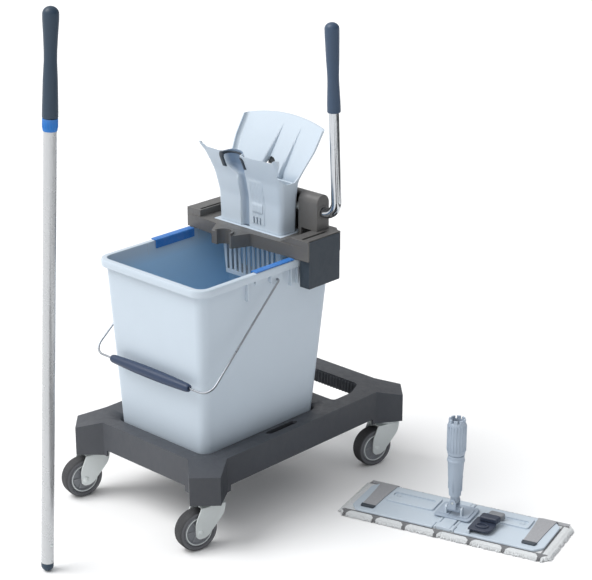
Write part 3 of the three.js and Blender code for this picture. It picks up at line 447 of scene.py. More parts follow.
def turned(profile, sides=64, closed=False):
    """A body turned about Z from (radius, height) pairs."""
    rings = []
    for radius, height in profile:
        angles = [2 * math.pi * k / sides for k in range(sides)]
        r = max(radius, 1e-4)
        rings.append([(r * math.cos(a), r * math.sin(a), height) for a in angles])
    if closed:
        rings.append(rings[0])
        return skin(rings, True, False, False)
    return skin(rings)


def lathed(name, profile, sides=64, matrix=TROLLEY, closed=False):
    return add_mesh(name, *turned(profile, sides, closed), matrix)


def arc(x, y, radius_x, radius_y, count=25, end=math.pi):
    """Points round an ellipse, counter-clockwise from its +X end."""
    angles = np.linspace(0, end, count)
    return [(x + radius_x * math.cos(a), y + radius_y * math.sin(a), 0) for a in angles]


def tube(points, radius, sides=16):
    """A round bar along a line of points. radius is a number, or one for each point."""
    points = [Vector(p) for p in points]
    radii = radius if hasattr(radius, "__len__") else [radius] * len(points)
    tangents = []
    for i in range(len(points)):
        before, after = points[max(i - 1, 0)], points[min(i + 1, len(points) - 1)]
        tangents.append((after - before).normalized())
    across = tangents[0].orthogonal().normalized()
    rings = []
    for i, point in enumerate(points):
        if i:
            across.rotate(tangents[i - 1].rotation_difference(tangents[i]))
        up = tangents[i].cross(across)
        ring = []
        for k in range(sides):
            a = 2 * math.pi * k / sides
            ring.append(point + (across * math.cos(a) + up * math.sin(a)) * radii[i])
        rings.append(ring)
    return skin(rings)


def filleted(points, radius, steps=8, closed=False):
    """A line of points with its corners rounded; radius may be one for each point."""
    points = [Vector(p) for p in points]
    radii = radius if hasattr(radius, "__len__") else [radius] * len(points)
    line = []
    for i, corner in enumerate(points):
        if not closed and i in (0, len(points) - 1) or radii[i] <= 0:
            line.append(corner)
            continue
        before = (points[i - 1] - corner).normalized()
        after = (points[(i + 1) % len(points)] - corner).normalized()
        half = before.angle(after) / 2
        reach = radii[i] / math.tan(half)
        centre = corner + (before + after).normalized() * (radii[i] / math.sin(half))
        start, end = corner + before * reach - centre, corner + after * reach - centre
        turn = start.rotation_difference(end)
        for k in range(steps + 1):
            line.append(centre + Quaternion().slerp(turn, k / steps) @ start)
    return line


def offset_outline(outline, distance):
    """A closed 2D outline, counter-clockwise, moved inward by distance."""
    count = len(outline)
    moved = []
    for i in range(count):
        here = Vector(outline[i][:2])
        into = (here - Vector(outline[i - 1][:2])).normalized()
        out = (Vector(outline[(i + 1) % count][:2]) - here).normalized()
        normal_in, normal_out = Vector((-into.y, into.x)), Vector((-out.y, out.x))
        mitre = (normal_in + normal_out).normalized()
        moved.append(here + mitre * distance / max(0.35, mitre.dot(normal_in)))
    return moved


def slab(name, outline, low, high, soft=1.0, steps=3, matrix=TROLLEY, plane="XY"):
    """A plate cut to an outline, with rounded edges. plane says where the outline is drawn."""
    area = sum(
        outline[i - 1][0] * outline[i][1] - outline[i][0] * outline[i - 1][1]
        for i in range(len(outline))
    )
    if area < 0:
        outline = list(reversed(outline))
    low, high = sorted((low, high))
    levels = []
    for k in range(steps + 1):
        a = math.pi / 2 * k / steps
        levels.append((soft * (1 - math.sin(a)), low + soft * (1 - math.cos(a))))
    levels += [(inset, low + high - z) for inset, z in reversed(levels)]
    order = {"XY": (0, 1, 2), "XZ": (0, 2, 1), "YZ": (2, 0, 1)}[plane]
    rings = []
    for inset, z in levels:
        ring = offset_outline(outline, inset) if inset > 1e-6 else [Vector(p[:2]) for p in outline]
        rings.append([[(p.x, p.y, z)[axis] for axis in order] for p in ring])
    return add_mesh(name, *skin(rings), matrix)


def box_outline(x0, x1, y0, y1, radius=0.0, steps=6):
    corners = [(x0, y0, 0), (x1, y0, 0), (x1, y1, 0), (x0, y1, 0)]
    if radius <= 0:
        return [Vector(c) for c in corners]
    return filleted(corners, radius, steps, closed=True)


def soft_box(name, x0, x1, y0, y1, z0, z1, soft=1.0, matrix=TROLLEY, corner=None):
    radius = soft if corner is None else corner
    x0, x1 = sorted((x0, x1))
    return slab(name, box_outline(x0, x1, y0, y1, radius), z0, z1, soft, 3, matrix)


def refined(node, name, width=1.2, segments=2, angle=30, shortest=2.0):
    """A copy of a CAD node with its long sharp edges rounded."""
    work = bmesh.new()
    work.from_mesh(NODES[node].data)
    bmesh.ops.remove_doubles(work, verts=work.verts, dist=2e-6)
    flat = math.radians(0.6)
    bmesh.ops.dissolve_limit(work, angle_limit=flat, verts=work.verts, edges=work.edges)
    sharp = [
        edge
        for edge in work.edges
        if len(edge.link_faces) == 2
        and edge.calc_face_angle(0) > math.radians(angle)
        and edge.calc_length() > shortest * MM
    ]
    bmesh.ops.bevel(
        work, geom=sharp, offset=width * MM, segments=segments, profile=0.5,
        affect="EDGES", clamp_overlap=True,
    )
    mesh = bpy.data.meshes.new(name)
    work.to_mesh(mesh)
    work.free()
    return linked(name, mesh)


def paint(material, *nodes):
    """CAD nodes whose shape is right keep it, with a better material."""
    for name in nodes:
        for held in NODES[name].material_slots:
            held.material = material


# ---- Chassis ---------------------------------------------------------------------------

DECK = 125


def make_chassis():
    body = refined("chassis", "chassis_body", 2.0, 3, 25, 6)
    parts = [body]
    for i in range(27):
        x = -104 + i * 8
        nose = reversed(arc(x, 214.6, 2.6, -2.6, 7))
        outline = [*nose, (x + 2.6, 216.5, 0), (x - 2.6, 216.5, 0)]
        parts.append(slab("rib", outline, 134, 158, 0.5, 1))
    shell = joined("chassis_shell", *parts)
    placed(shell, GRAPHITE, "chassis", "graphite_plastic", "chassis", angle=30)


def make_casters():
    tyre = [(29.2, -12)]
    tyre += [(30.5, -13.3), (31.6, -13.5), (32.2, -13.0), (32.8, -13.5), (34.5, -13.5)]
    for k in range(9):
        a = math.pi / 2 * k / 8
        tyre.append((34.5 + 4.5 * math.sin(a), -13.5 + 6.5 * (1 - math.cos(a))))
    tyre += [(39, -3), (38.9, 0)]
    tyre += [(r, -h) for r, h in reversed(tyre[:-1])]
    tyre.append((29.2, -12))
    hub = [
        (4.4, -14.5), (8.2, -14.5), (9, -13.9), (9.6, -9.6), (10.6, -9), (21.8, -9), (22.8, -9.6),
        (24.2, -12), (25, -12.5), (28, -12.5), (28.7, -11.9),
    ]
    hub += [(r, -h) for r, h in reversed(hub)]
    hub.append(hub[0])
    ring = [point[:2] for point in arc(26.2, -12.6, 0.9, 0.9, 9, 2 * math.pi)]
    lay = turned_by(90, "Y")
    for place, (sx, sy) in CASTERS.items():
        caster = TROLLEY @ Matrix.Translation((sx * 159, sy * 244, 0)) @ turned_by(-14, "Z")
        wheel = caster @ Matrix.Translation((0, -31, 39)) @ lay
        body = f"wheel_{place}"
        obj = lathed(f"tyre_{place}", tyre[:-1], 96, wheel, True)
        marked(obj, "tread", wheel, lambda x, y, z: step(math.hypot(x, y), 35.5, 37.5))
        placed(obj, RUBBER, body, "tyre_rubber", f"wheel_tyre_{place}", angle=50)
        parts = [lathed("hub", hub[:-1], 96, wheel, True)]
        for k in range(6):
            spoke = wheel @ turned_by(60 * k + 30, "Z")
            for side in (-1, 1):
                outline = [(9, -1.7, 0), (23, -1.3, 0), (23, 1.3, 0), (9, 1.7, 0)]
                parts.append(slab("spoke", outline, side * 8.5, side * 11.2, 0.5, 2, spoke))
        placed(joined(f"hub_{place}", *parts), HUB, body, "hub_plastic", f"wheel_hub_{place}")
        rings = []
        for side in (-1, 1):
            profile = [(r, side * h) for r, h in ring[:-1]]
            rings.append(lathed("ring", profile, 96, wheel, True))
        placed(joined(f"hub_ring_{place}", *rings), ZINC, body, "zinc_steel")
        make_fork(place, caster)
        cup = [(6.6, 88), (20, 88), (23.2, 89.6), (24, 90.6), (24, 93.6), (6.6, 93.6)]
        obj = lathed(f"cup_{place}", cup, 48, caster, True)
        placed(obj, ZINC, "chassis", "zinc_steel", f"caster_cup_{place}")


def make_fork(place, caster):
    corners = [(-28, 87), (23, 87), (19, 66), (-14, 30), (-22, 26), (-34, 26), (-40, 32), (-41, 58)]
    radii = [3, 3, 30, 12, 6, 7, 6, 40]
    leg = filleted([(*c, 0) for c in corners], radii, 6, closed=True)
    parts = []
    for side in (-1, 1):
        parts.append(slab("leg", leg, side * 16.2, side * 19, 0.9, 2, caster, "YZ"))
        rivet = caster @ Matrix.Translation((side * 19, -31, 39)) @ turned_by(90 * side, "Y")
        head = [(0, 2.4), (1.6, 2.2), (2.2, 1.6), (4.6, 1.6), (5.6, 1.0), (6, 0), (6, -1), (0, -1)]
        parts.append(lathed("rivet", head, 32, rivet))
    parts.append(soft_box("crown", -19, 19, -27, 23, 84.2, 87, 1.2, caster, 4))
    parts.append(lathed("race", [(0, 82), (15, 82), (18, 83.5), (18, 87), (0, 87)], 48, caster))
    parts.append(lathed("stem", [(0, 86), (5.8, 86), (5.8, 132), (4.8, 134), (0, 134)], 24, caster))
    axle = caster @ Matrix.Translation((0, -31, 39)) @ turned_by(90, "Y")
    parts.append(lathed("axle", [(0, -18), (4, -18), (4, 18), (0, 18)], 24, axle))
    obj = joined(f"fork_{place}", *parts)
    placed(obj, ZINC, f"caster_{place}", "zinc_steel", f"caster_fork_{place}")


# ---- Bucket ----------------------------------------------------------------------------

FOOT = {"x": 116, "y0": -213, "y1": 78, "r": 18, "z": DECK + 0.3}
LIP = {"x": 132.5, "y0": -231.5, "y1": 119.5, "r": 20, "z": 485}


def bucket_size(z):
    """How far up the bucket a height is, 0 to 1, and its outline there: x, y0, y1, corner."""
    t = (z - FOOT["z"]) / (LIP["z"] - FOOT["z"])
    return t, *(FOOT[key] + (LIP[key] - FOOT[key]) * t for key in ("x", "y0", "y1", "r"))


def bucket_ring(z, grow, corner_steps=10, side_steps=8):
    t, x, y0, y1, r = bucket_size(z)
    x, y0, y1, r = x + grow, y0 - grow, y1 + grow, max(r + grow, 2)
    bow = 1.2 * math.sin(math.pi * min(max(t, 0), 1))
    centres = [(x - r, y0 + r, -90), (x - r, y1 - r, 0), (-x + r, y1 - r, 90), (-x + r, y0 + r, 180)]
    corners = []
    for cx, cy, start in centres:
        angles = [math.radians(start + 90 * k / corner_steps) for k in range(corner_steps + 1)]
        corners.append([(cx + r * math.cos(a), cy + r * math.sin(a)) for a in angles])
    ring = []
    for i, corner in enumerate(corners):
        ring += corner
        (ax, ay), (bx, by) = corner[-1], corners[(i + 1) % 4][0]
        out = Vector((by - ay, ax - bx)).normalized()
        for k in range(1, side_steps):
            s = k / side_steps
            lift = bow * math.sin(math.pi * s)
            ring.append((ax + (bx - ax) * s + out.x * lift, ay + (by - ay) * s + out.y * lift))
    return [(px, py, z) for px, py in ring]


def bucket_shade(x, y, z):
    """1 on the bucket's inner faces below the rim, 0 outside: where painted bluish shade goes."""
    _, wall_x, y0, y1, r = bucket_size(z)
    dx, dy = abs(x) - wall_x + r, abs(y - (y0 + y1) / 2) - (y1 - y0) / 2 + r
    beyond = math.hypot(dx, dy) if dx > 0 and dy > 0 else max(dx, dy)
    return 0.0 if beyond - r > -1.35 or z < 127.5 else 1 - step(z, 440, 476)


def make_bucket():
    outer = [(-14, 125.3), (-7, 125.4), (-3.5, 126.3), (-1.2, 128.4), (-0.2, 131.2), (0, 135)]
    outer += [(0, z) for z in range(160, 471, 26)]
    outer += [(0.2, 470), (0.3, 481.6), (7.2, 481.6), (7.2, 471.2), (8, 470.6), (9.6, 470.8), (10, 472)]
    outer += [(10, 480), (9.6, 482.4), (8.4, 484.2), (6.5, 485), (0, 485.2), (-1.6, 484.7), (-2.5, 483)]
    inner = [(-2.6, z) for z in range(470, 140, -26)]
    inner += [(-2.8, 135), (-4, 131), (-8, 128.6), (-14, 128.1)]
    parts = [add_mesh("shell", *skin([bucket_ring(z, g) for g, z in outer + inner]))]
    for side in (-1, 1):
        for y in (-118, -4, 14):
            parts.append(soft_box("rib", side * 129, side * 137.5, y - 1.5, y + 1.5, 435, 483, 0.6))
        ear = filleted([(-60, 481, 0), (-60, 451, 0), (-30, 451, 0), (-30, 481, 0)], 9, 6, True)
        parts.append(slab("ear", ear, side * 129, side * 139.3, 1.4, 3, TROLLEY, "YZ"))
        panel = filleted([(-98, 482, 0), (-98, 460, 0), (-66, 460, 0), (-66, 482, 0)], 4, 4, True)
        parts.append(slab("panel", panel, side * 129, side * 136.4, 1.2, 2, TROLLEY, "YZ"))
    # The "shade" attribute paints the bucket's inner faces a bluish shade tone.
    obj = marked(joined("bucket_shell", *parts), "shade", TROLLEY, bucket_shade)
    placed(obj, PALE_SHADED_INSIDE, "bucket", "pale_plastic", "bucket", angle=32)
    for side, name in ((-1, "left"), (1, "right")):
        clip = [(0, 0), (0, 16.2), (1.2, 17.3), (14.6, 17.3), (14.6, 15.4), (2.1, 15.4), (2.1, 0)]
        outline = [(side * (126 + u), 470 + v, 0) for u, v in clip]
        grips = [slab("clip", outline, -100, 0, 0.5, 2, TROLLEY, "XZ")]
        for k in range(12):
            y = -94 + k * 8
            ends = (side * 128.6, side * 139.4)
            grips.append(soft_box("grip", *ends, y - 1.2, y + 1.2, 486.6, 487.8, 0.4))
        placed(joined(f"clip_{name}", *grips), BLUE, "bucket", "blue_plastic", f"rim_clip_{name}")


def make_bail():
    right = [(134.4, -46, 460), (145.3, -46, 460), (157, -239, 292.5)]
    left = [(-x, y, z) for x, y, z in reversed(right)]
    line = filleted(right + left, [0, 4, 24, 24, 4, 0], 10)
    wire = add_mesh("bail_loop", *tube(line, 2, 16))
    placed(wire, WIRE, "bail", "zinc_steel", "bail_wire", angle=50)
    half = 105
    profile = [(2.4, -half), (5.6, -half), (6.6, -half + 1), (7, -half + 3)]
    for k in range(25):
        s = k / 24
        profile.append((7.8 + 2.7 * math.sin(math.pi * s) ** 0.8, -half + 5 + s * (2 * half - 10)))
    profile += [(7, half - 3), (6.6, half - 1), (5.6, half), (2.4, half)]
    across = TROLLEY @ Matrix.Translation((0, *right[-1][1:])) @ turned_by(90, "Y")
    grip = lathed("bail_handle", profile, 48, across, True)
    placed(grip, NAVY_GRIP, "bail", "slate_grip", "bail_grip", angle=40)


# ---- Wringer ---------------------------------------------------------------------------

HOPPER_SECTIONS = [  # half width, front, back, height
    (82, 25, 70, 512.3), (84, 24, 70, 570), (90, 16, 70, 611), (95, 6, 85.6, 635),
    (102, -5, 103.2, 662), (103, -12, 130, 703), (103.3, -13, 137.8, 715),
]
HOPPER_LOW, HOPPER_TOP = 512.3, 714
MOUTH_CUT = [
    (-60, 661), (-1, 661), (9, 628), (30, 611.5), (54, 611), (63, 620), (118, 704), (150, 753),
]
HOPPER_CORNER = 10


def smoothed_sections():
    """The hopper's sections at every millimetre, with the kinks between them rounded."""
    table = np.array(HOPPER_SECTIONS, float)
    heights = np.arange(HOPPER_LOW, HOPPER_TOP + 0.5, 1.0)
    reach = 14
    window = np.hanning(2 * reach + 1)
    window /= window.sum()
    columns = []
    for c in range(3):
        values = np.interp(heights, table[:, 3], table[:, c])
        start = 2 * values[0] - values[reach:0:-1]
        end = 2 * values[-1] - values[-2:-reach - 2:-1]
        columns.append(np.convolve(np.concatenate([start, values, end]), window, "valid"))
    return heights, np.array(columns)


SECTION_HEIGHTS, SECTION_SIZES = smoothed_sections()


def hopper_size(z):
    return [float(np.interp(z, SECTION_HEIGHTS, SECTION_SIZES[c])) for c in range(3)]


def hopper_columns():
    """(part, fraction) pairs round the hopper: the front, two sides, the back, four corners."""
    columns = []
    for part, count in (("front", 110), ("corner0", 8), ("right", 24), ("corner1", 8),
                        ("back", 120), ("corner2", 8), ("left", 24), ("corner3", 8)):
        columns += [(part, k / count) for k in range(count)]
    return columns


def hopper_point(part, s, z):
    half, front, back = hopper_size(z)
    r = HOPPER_CORNER
    if part == "front":
        return -half + r + s * 2 * (half - r), front
    if part == "right":
        return half, front + r + s * (back - front - 2 * r)
    if part == "back":
        return half - r - s * 2 * (half - r), back
    if part == "left":
        return -half, back - r - s * (back - front - 2 * r)
    centres = [(half - r, front + r, -90), (half - r, back - r, 0), (-half + r, back - r, 90),
               (-half + r, front + r, 180)]
    cx, cy, start = centres[int(part[-1])]
    a = math.radians(start + 90 * s)
    return cx + r * math.cos(a), cy + r * math.sin(a)


def step(value, low, high):
    t = min(max((value - low) / (high - low), 0), 1)
    return t * t * (3 - 2 * t)


def front_edge(x):
    """How far the front wall's top edge stands above its straight line."""
    ears = 7 * step(abs(x), 84, 99)
    arch = 4 * math.exp(-(((x + 20) / 19) ** 4))
    return ears + arch - 2.5 * math.cos(math.pi * x / 200)


def mouth_cutter():
    """Everything above the hopper's mouth, drawn as sections across its width."""
    line = filleted([(*p, 0) for p in MOUTH_CUT], [0, 7, 12, 12, 5, 14, 0, 0], 6)
    rings = []
    for x in np.linspace(-130, 130, 105):
        lift = front_edge(float(x))
        cradle = 20 * math.exp(-(((x + 19) / 25) ** 6))
        ring = []
        for p in line:
            y = p.x + cradle * step(p.x, -40, -3) * (1 - step(p.x, 20, 52))
            ring.append((x, y, p.y + lift * (1 - step(p.x, 0, 12))))
        rings.append(ring + [(x, 150, 800), (x, -60, 800)])
    return add_mesh("mouth", *skin(rings))


def crown_cutter():
    """Everything above the arched top of the hopper's back panel."""
    rings = []
    for x in np.linspace(-130, 130, 53):
        top = 699 + 13 * (1 - (x / 103) ** 2)
        rings.append([(x, 95, top), (x, 165, top), (x, 165, 800), (x, 95, 800)])
    return add_mesh("crown", *skin(rings))


def hopper_relief(part, x, z):
    """How far the wall is pushed toward +Y at a point: flutes, cradle, channel, ridges."""
    if part == "back":
        push = 0.0
        for tip, foot0, foot1, low in ((-1, -17, 9, 628), (44, 31, 57, 606)):
            t = min((699 - z) / (699 - low), 1.25)
            left, right = tip + (foot0 - tip) * t, tip + (foot1 - tip) * t
            if t > 0 and left < x < right and z > low - 16:
                into = (x - left) / max(right - left, 0.1)
                depth = 15 * min(t, 1) * step(z, low - 16, low)
                push += depth * (1 - into / 0.8 if into < 0.8 else 0) * step(into, 0, 0.16)
        return push
    if part != "front":
        return 0.0
    push = 0.0
    opening = step(z, 612, 634)
    half = 9 + 12.5 * opening
    centre = -9.5 - 9.5 * opening
    t = (x - centre) / half
    if abs(t) < 1:
        depth = 7 + 10 * opening
        push += depth * (1 - abs(t) ** 3) ** 0.5
    push -= 2.6 * step(x, -24.5, -22.5) * (1 - step(x, -20.5, -19)) * (1 - step(z, 604, 612))
    if 7 < x < 41:
        strip = step(x, 7, 8.5) * (1 - step(x, 39.5, 41)) * step(z, 520, 523) * (1 - step(z, 606, 612))
        push -= strip * (1.0 + 0.45 * math.cos(2 * math.pi * x / 4))
        pad = step(x, 9, 10.5) * (1 - step(x, 36, 37.5)) * step(z, 544, 546) * (1 - step(z, 561, 563))
        push -= 1.6 * pad
    return push


def make_hopper():
    columns = hopper_columns()
    rings = []
    for z in np.linspace(HOPPER_LOW, HOPPER_TOP + 2, 96):
        ring = []
        for part, s in columns:
            x, y = hopper_point(part, s, min(z, HOPPER_TOP))
            if y < 5 and z > 650:
                y -= 0.35 * (z - 650) * step(abs(x), 84, 98)
            ring.append((x, y + hopper_relief(part, x, z), z))
        rings.append(ring)
    shell = add_mesh("hopper", *skin(rings, True, False, False))
    modified(shell, "SOLIDIFY", thickness=2.4 * MM, offset=-1)
    cutters = [slab("hole", arc(1.5, 622, 15.5, 16), 66, 100, 0.01, 1, TROLLEY, "XZ")]
    for x in (13, 21.5, 30):
        outline = box_outline(x - 1.7, x + 1.7, 521, 536, 1.6)
        cutters.append(slab("drain", outline, 14, 34, 0.01, 1, TROLLEY, "XZ"))
    for x in (-45, 45):
        outline = box_outline(x - 6.5, x + 6.5, 545, 594, 2)
        cutters.append(slab("window", outline, 60, 76, 0.01, 1, TROLLEY, "XZ"))
    carved(shell, *cutters, mouth_cutter(), crown_cutter(), solver="MANIFOLD")
    # The "shade" attribute gives the front wall's cradle and channel painted dark shade.
    marked(shell, "shade", TROLLEY, hollow_shade)
    placed(shell, PALE_PAINTED_SHADE, "wringer", "pale_plastic", "wringer_hopper", angle=40)
    cover = slab("hole_cover", arc(1.5, 620, 18.5, 19.5), 93.5, 96.5, 0.8, 2, TROLLEY, "XZ")
    placed(cover, TAUPE, "wringer", "taupe_plastic")
    make_saddle()


def hollow_shade(x, y, z):
    """How much painted shade a point of the hopper gets: how deep it lies in the narrow cradle and
    channel of its front wall, where little light comes.
    """
    _, front, back = hopper_size(z)
    if y > (front + back) / 2:
        return 0.0
    return min(1.0, max(0.0, (hopper_relief("front", x, z) - 1) / 9))


def front_wall(x, z):
    """The outer face of the hopper's front wall."""
    return hopper_size(z)[1] + hopper_relief("front", x, z)


def wall_patch(name, line, widths, proud):
    """A band laid on the front wall along a line of (x, z), proud of it by the given amount."""
    rings = []
    for i, (x, z) in enumerate(line):
        before, after = line[max(i - 1, 0)], line[min(i + 1, len(line) - 1)]
        along = Vector((after[0] - before[0], after[1] - before[1])).normalized()
        across = Vector((-along.y, along.x)) * widths[i] / 2
        outer, inner = [], []
        for k in range(9):
            u = 2 * k / 8 - 1
            px, pz = x + across.x * u, z + across.y * u
            wall = front_wall(px, pz)
            outer.append((px, wall - proud * (1 - 0.7 * abs(u) ** 5), pz))
            inner.append((px, wall + 1.2, pz))
        rings.append(outer + inner[::-1])
    return add_mesh(name, *skin(rings))


def make_saddle():
    """The dark clip round the cradle that holds a parked pole."""
    corners = [(-49, 626, 0), (-49, 656, 0), (-8, 656, 0), (6.5, 651, 0), (6.5, 630, 0)]
    bend = filleted(corners, [0, 11, 12, 6, 0], 8)
    line = [bend[0]]
    for point in bend[1:]:
        steps = max(1, int((point - line[-1]).length / 2))
        start = line[-1]
        line += [start.lerp(point, k / steps) for k in range(1, steps + 1)]
    widths = [4.5 + 6.5 * (1 - step(p.x, -47, -38)) + 1.5 * step(p.x, 1, 6) for p in line]
    clip = wall_patch("saddle_clip", [(p.x, p.y) for p in line], widths, 2.4)
    placed(clip, SLATE, "wringer", "slate_plastic", "hopper_saddle", angle=50)


def make_wringer():
    obj = refined("wringer_carrier", "carrier", 1.3, 2, 28, 2.2)
    placed(obj, TAUPE, "wringer", "taupe_plastic", "wringer_carrier", angle=30)
    for side in ("left", "right"):
        rounding = 1.3 if side == "right" else 0.7
        obj = refined(f"hook_{side}", f"hook_cover_{side}", rounding, 3, 40, 2)
        placed(obj, SLATE, "wringer", "slate_plastic", f"hook_{side}", angle=30)
    obj = refined("strainer_basket", "basket", 0.7, 2, 40, 2)
    placed(obj, PALE, "wringer", "pale_plastic", "strainer_basket", angle=30)
    make_housing()
    make_hopper()
    paint(ZINC, "drive_shaft", "return_spring")
    for side in ("left", "right"):
        obj = refined(f"press_cam_{side}", f"cam_{side}", 0.6, 2, 40, 2)
        placed(obj, NAVY, "lever", "navy_plastic", f"press_cam_{side}")
    obj = refined("press_plate", "press_face", 1.0, 3, 40, 2)
    placed(obj, PALE, "press_plate", "pale_plastic", "press_plate")
    line = filleted([(140.5, 78, 559), (174, 78, 559), lever_point(355)], [0, 29, 0], 16)
    obj = add_mesh("lever_bar", *tube(line, 9.5, 40))
    placed(obj, CHROME, "lever", "chrome_tube", "lever_tube", angle=50)
    grip = lathed("lever_handle", grip_profile(200, 366, 12.5, 10.8, 13.5, 9.8, 0.4), 64, LEVER)
    placed(grip, SLATE_GRIP, "lever", "slate_grip", "lever_grip", angle=40)


def lever_point(distance):
    lean = math.radians(2.7)
    return (174, 78 - math.sin(lean) * distance, 559 + math.cos(lean) * distance)


def grip_profile(start, end, lower, waist, upper, bore, waist_at):
    """A waisted hand grip with a rounded top, from its open lower end."""
    length = end - start
    profile = [(bore, start + 2), (bore, start), (lower - 1.4, start)]
    profile += [(lower - 0.4, start + 0.6), (lower, start + 2)]
    half = (lower + waist) / 2
    knots = [
        (0.02, lower), (0.1, lower * 0.99), (waist_at - 0.22, half + 0.2),
        (waist_at - 0.05, waist), (waist_at + 0.04, waist + 0.1),
        (waist_at + 0.2, (waist + upper) / 2), (0.88, upper), (0.93, upper),
    ]
    ts, rs = zip(*knots)
    for k in range(1, 41):
        t = 0.02 + 0.91 * k / 40
        profile.append((float(np.interp(t, ts, rs)), start + t * length))
    dome = start + 0.93 * length
    for k in range(1, 11):
        a = math.pi / 2 * k / 10
        profile.append((upper * math.cos(a), dome + (end - dome) * math.sin(a)))
    return profile


def make_housing():
    arch = [(61, 512.3, 0), (95, 512.3, 0), *arc(78, 576, 17, 17, 33)]
    inner = [(64.5, 512.0, 0), (91.5, 512.0, 0), *arc(78, 576, 13.5, 13.5, 33)]
    body = slab("housing", arch, -104, 140, 1.6, 3, TROLLEY, "YZ")
    bore = slab("bore", inner, -99, 134, 0.01, 1, TROLLEY, "YZ")
    gap = slab("gap", box_outline(-93, 93, 50, 70.6), 500, 600, 0.01, 1)
    ledge = slab("step", box_outline(100, 145, 50, 100), 500, 525.3, 0.01, 1)
    carved(body, bore, gap, ledge)
    boss = TROLLEY @ Matrix.Translation((140, 78, 559)) @ turned_by(90, "Y")
    ring = [(10.2, -3), (10.2, 0.8), (11, 1.4), (13, 1.4), (13.8, 0.6), (13.8, -3)]
    collar = lathed("boss", ring, 40, boss, True)
    obj = joined("housing_cover", body, collar)
    placed(obj, TAUPE, "wringer", "taupe_plastic", "shaft_housing", angle=30)


# ---- Pole ------------------------------------------------------------------------------


def make_pole():
    tube_end, end = 810.75, 1007.75
    grip_start = end - 184
    wall = [(11.25, 6), (11.25, tube_end - 0.6), (10.9, tube_end), (10.0, tube_end), (10.0, 6)]
    outer = lathed("pole_tube", wall, 48, POLE, True)
    hole = POLE @ Matrix.Translation((8, 0, 42)) @ turned_by(90, "Y")
    carved(outer, lathed("hole", [(0, 0), (3.6, 0), (3.6, 8), (0, 8)], 24, hole))
    placed(outer, ALUMINIUM, "pole", "aluminium_tube", "pole_outer_tube", angle=40)
    cap = [(11.2 * math.sin(a), -11.2 * math.cos(a)) for a in np.linspace(0, math.pi / 2, 12)]
    plug = [*cap, (11.2, 3), (10.9, 3.6), (11.2, 4.2), (11.2, 5.5), (9.7, 5.7), (9.7, 30), (0, 30)]
    obj = lathed("pole_foot", plug, 48, POLE)
    placed(obj, DARK_GRIP, "pole", "dark_grip", "pole_end_plug", angle=40)
    button = [(0, 6), (5, 6), (5, 8), (3.2, 8)]
    button += [(3.2 * math.cos(a), 10.6 + 2.3 * math.sin(a)) for a in np.linspace(0, math.pi / 2, 7)]
    across = POLE @ Matrix.Translation((0, 0, 42)) @ turned_by(90, "Y")
    obj = lathed("pole_button", button, 32, across)
    placed(obj, ZINC, "pole", "zinc_steel", "pole_snap_button", angle=40)
    collar = [(9.9, grip_start - 0.7), (9.9, tube_end + 0.4), (11.6, tube_end + 0.3)]
    collar += [(11.6, tube_end - 9), (11.9, tube_end - 9), (12.3, tube_end - 8.2)]
    collar += [(12.9, tube_end - 3), (13.2, tube_end + 3)]
    collar += [(13.4, grip_start - 1.6), (13.0, grip_start - 0.7)]
    parts = [lathed("collar", collar, 48, POLE, True)]
    for k in range(18):
        turn = POLE @ turned_by(20 * k, "Z")
        parts.append(soft_box("rib", 12.5, 13.5, -0.6, 0.6, tube_end - 3, tube_end + 10, 0.3, turn))
    obj = joined("pole_collar", *parts)
    placed(obj, BLUE, "pole_collar", "blue_plastic", "pole_lock_collar", angle=40)
    inner = [(8.3, 52), (9.6, 52), (9.6, end - 7), (8.3, end - 7)]
    obj = lathed("pole_core", inner, 40, POLE, True)
    placed(obj, ALUMINIUM, "pole_inner", "aluminium_tube", "pole_inner_tube", angle=40)
    profile = grip_profile(grip_start, end, 13.5, 10.9, 13.8, 9.9, 0.56)
    grip = lathed("pole_handle", profile, 64, POLE)
    placed(grip, DARK_GRIP, "pole_inner", "dark_grip", "pole_grip", angle=40)


# ---- Mop head --------------------------------------------------------------------------


def hinge_parts(side, y0, y1, web):
    """A barrel on the fold line, and the web that carries it: (inner X, outer X, top)."""
    profile = [(0, y0), (2.6, y0), (3, y0 + 0.4), (3, y1 - 0.4), (2.6, y1), (0, y1)]
    across = MOP @ Matrix.Translation((side * 17, 0, 12)) @ turned_by(-90, "X")
    barrel = lathed("barrel", profile, 24, across)
    return [barrel, soft_box("web", side * web[0], side * web[1], y0, y1, 9.6, web[2], 0.6, MOP)]


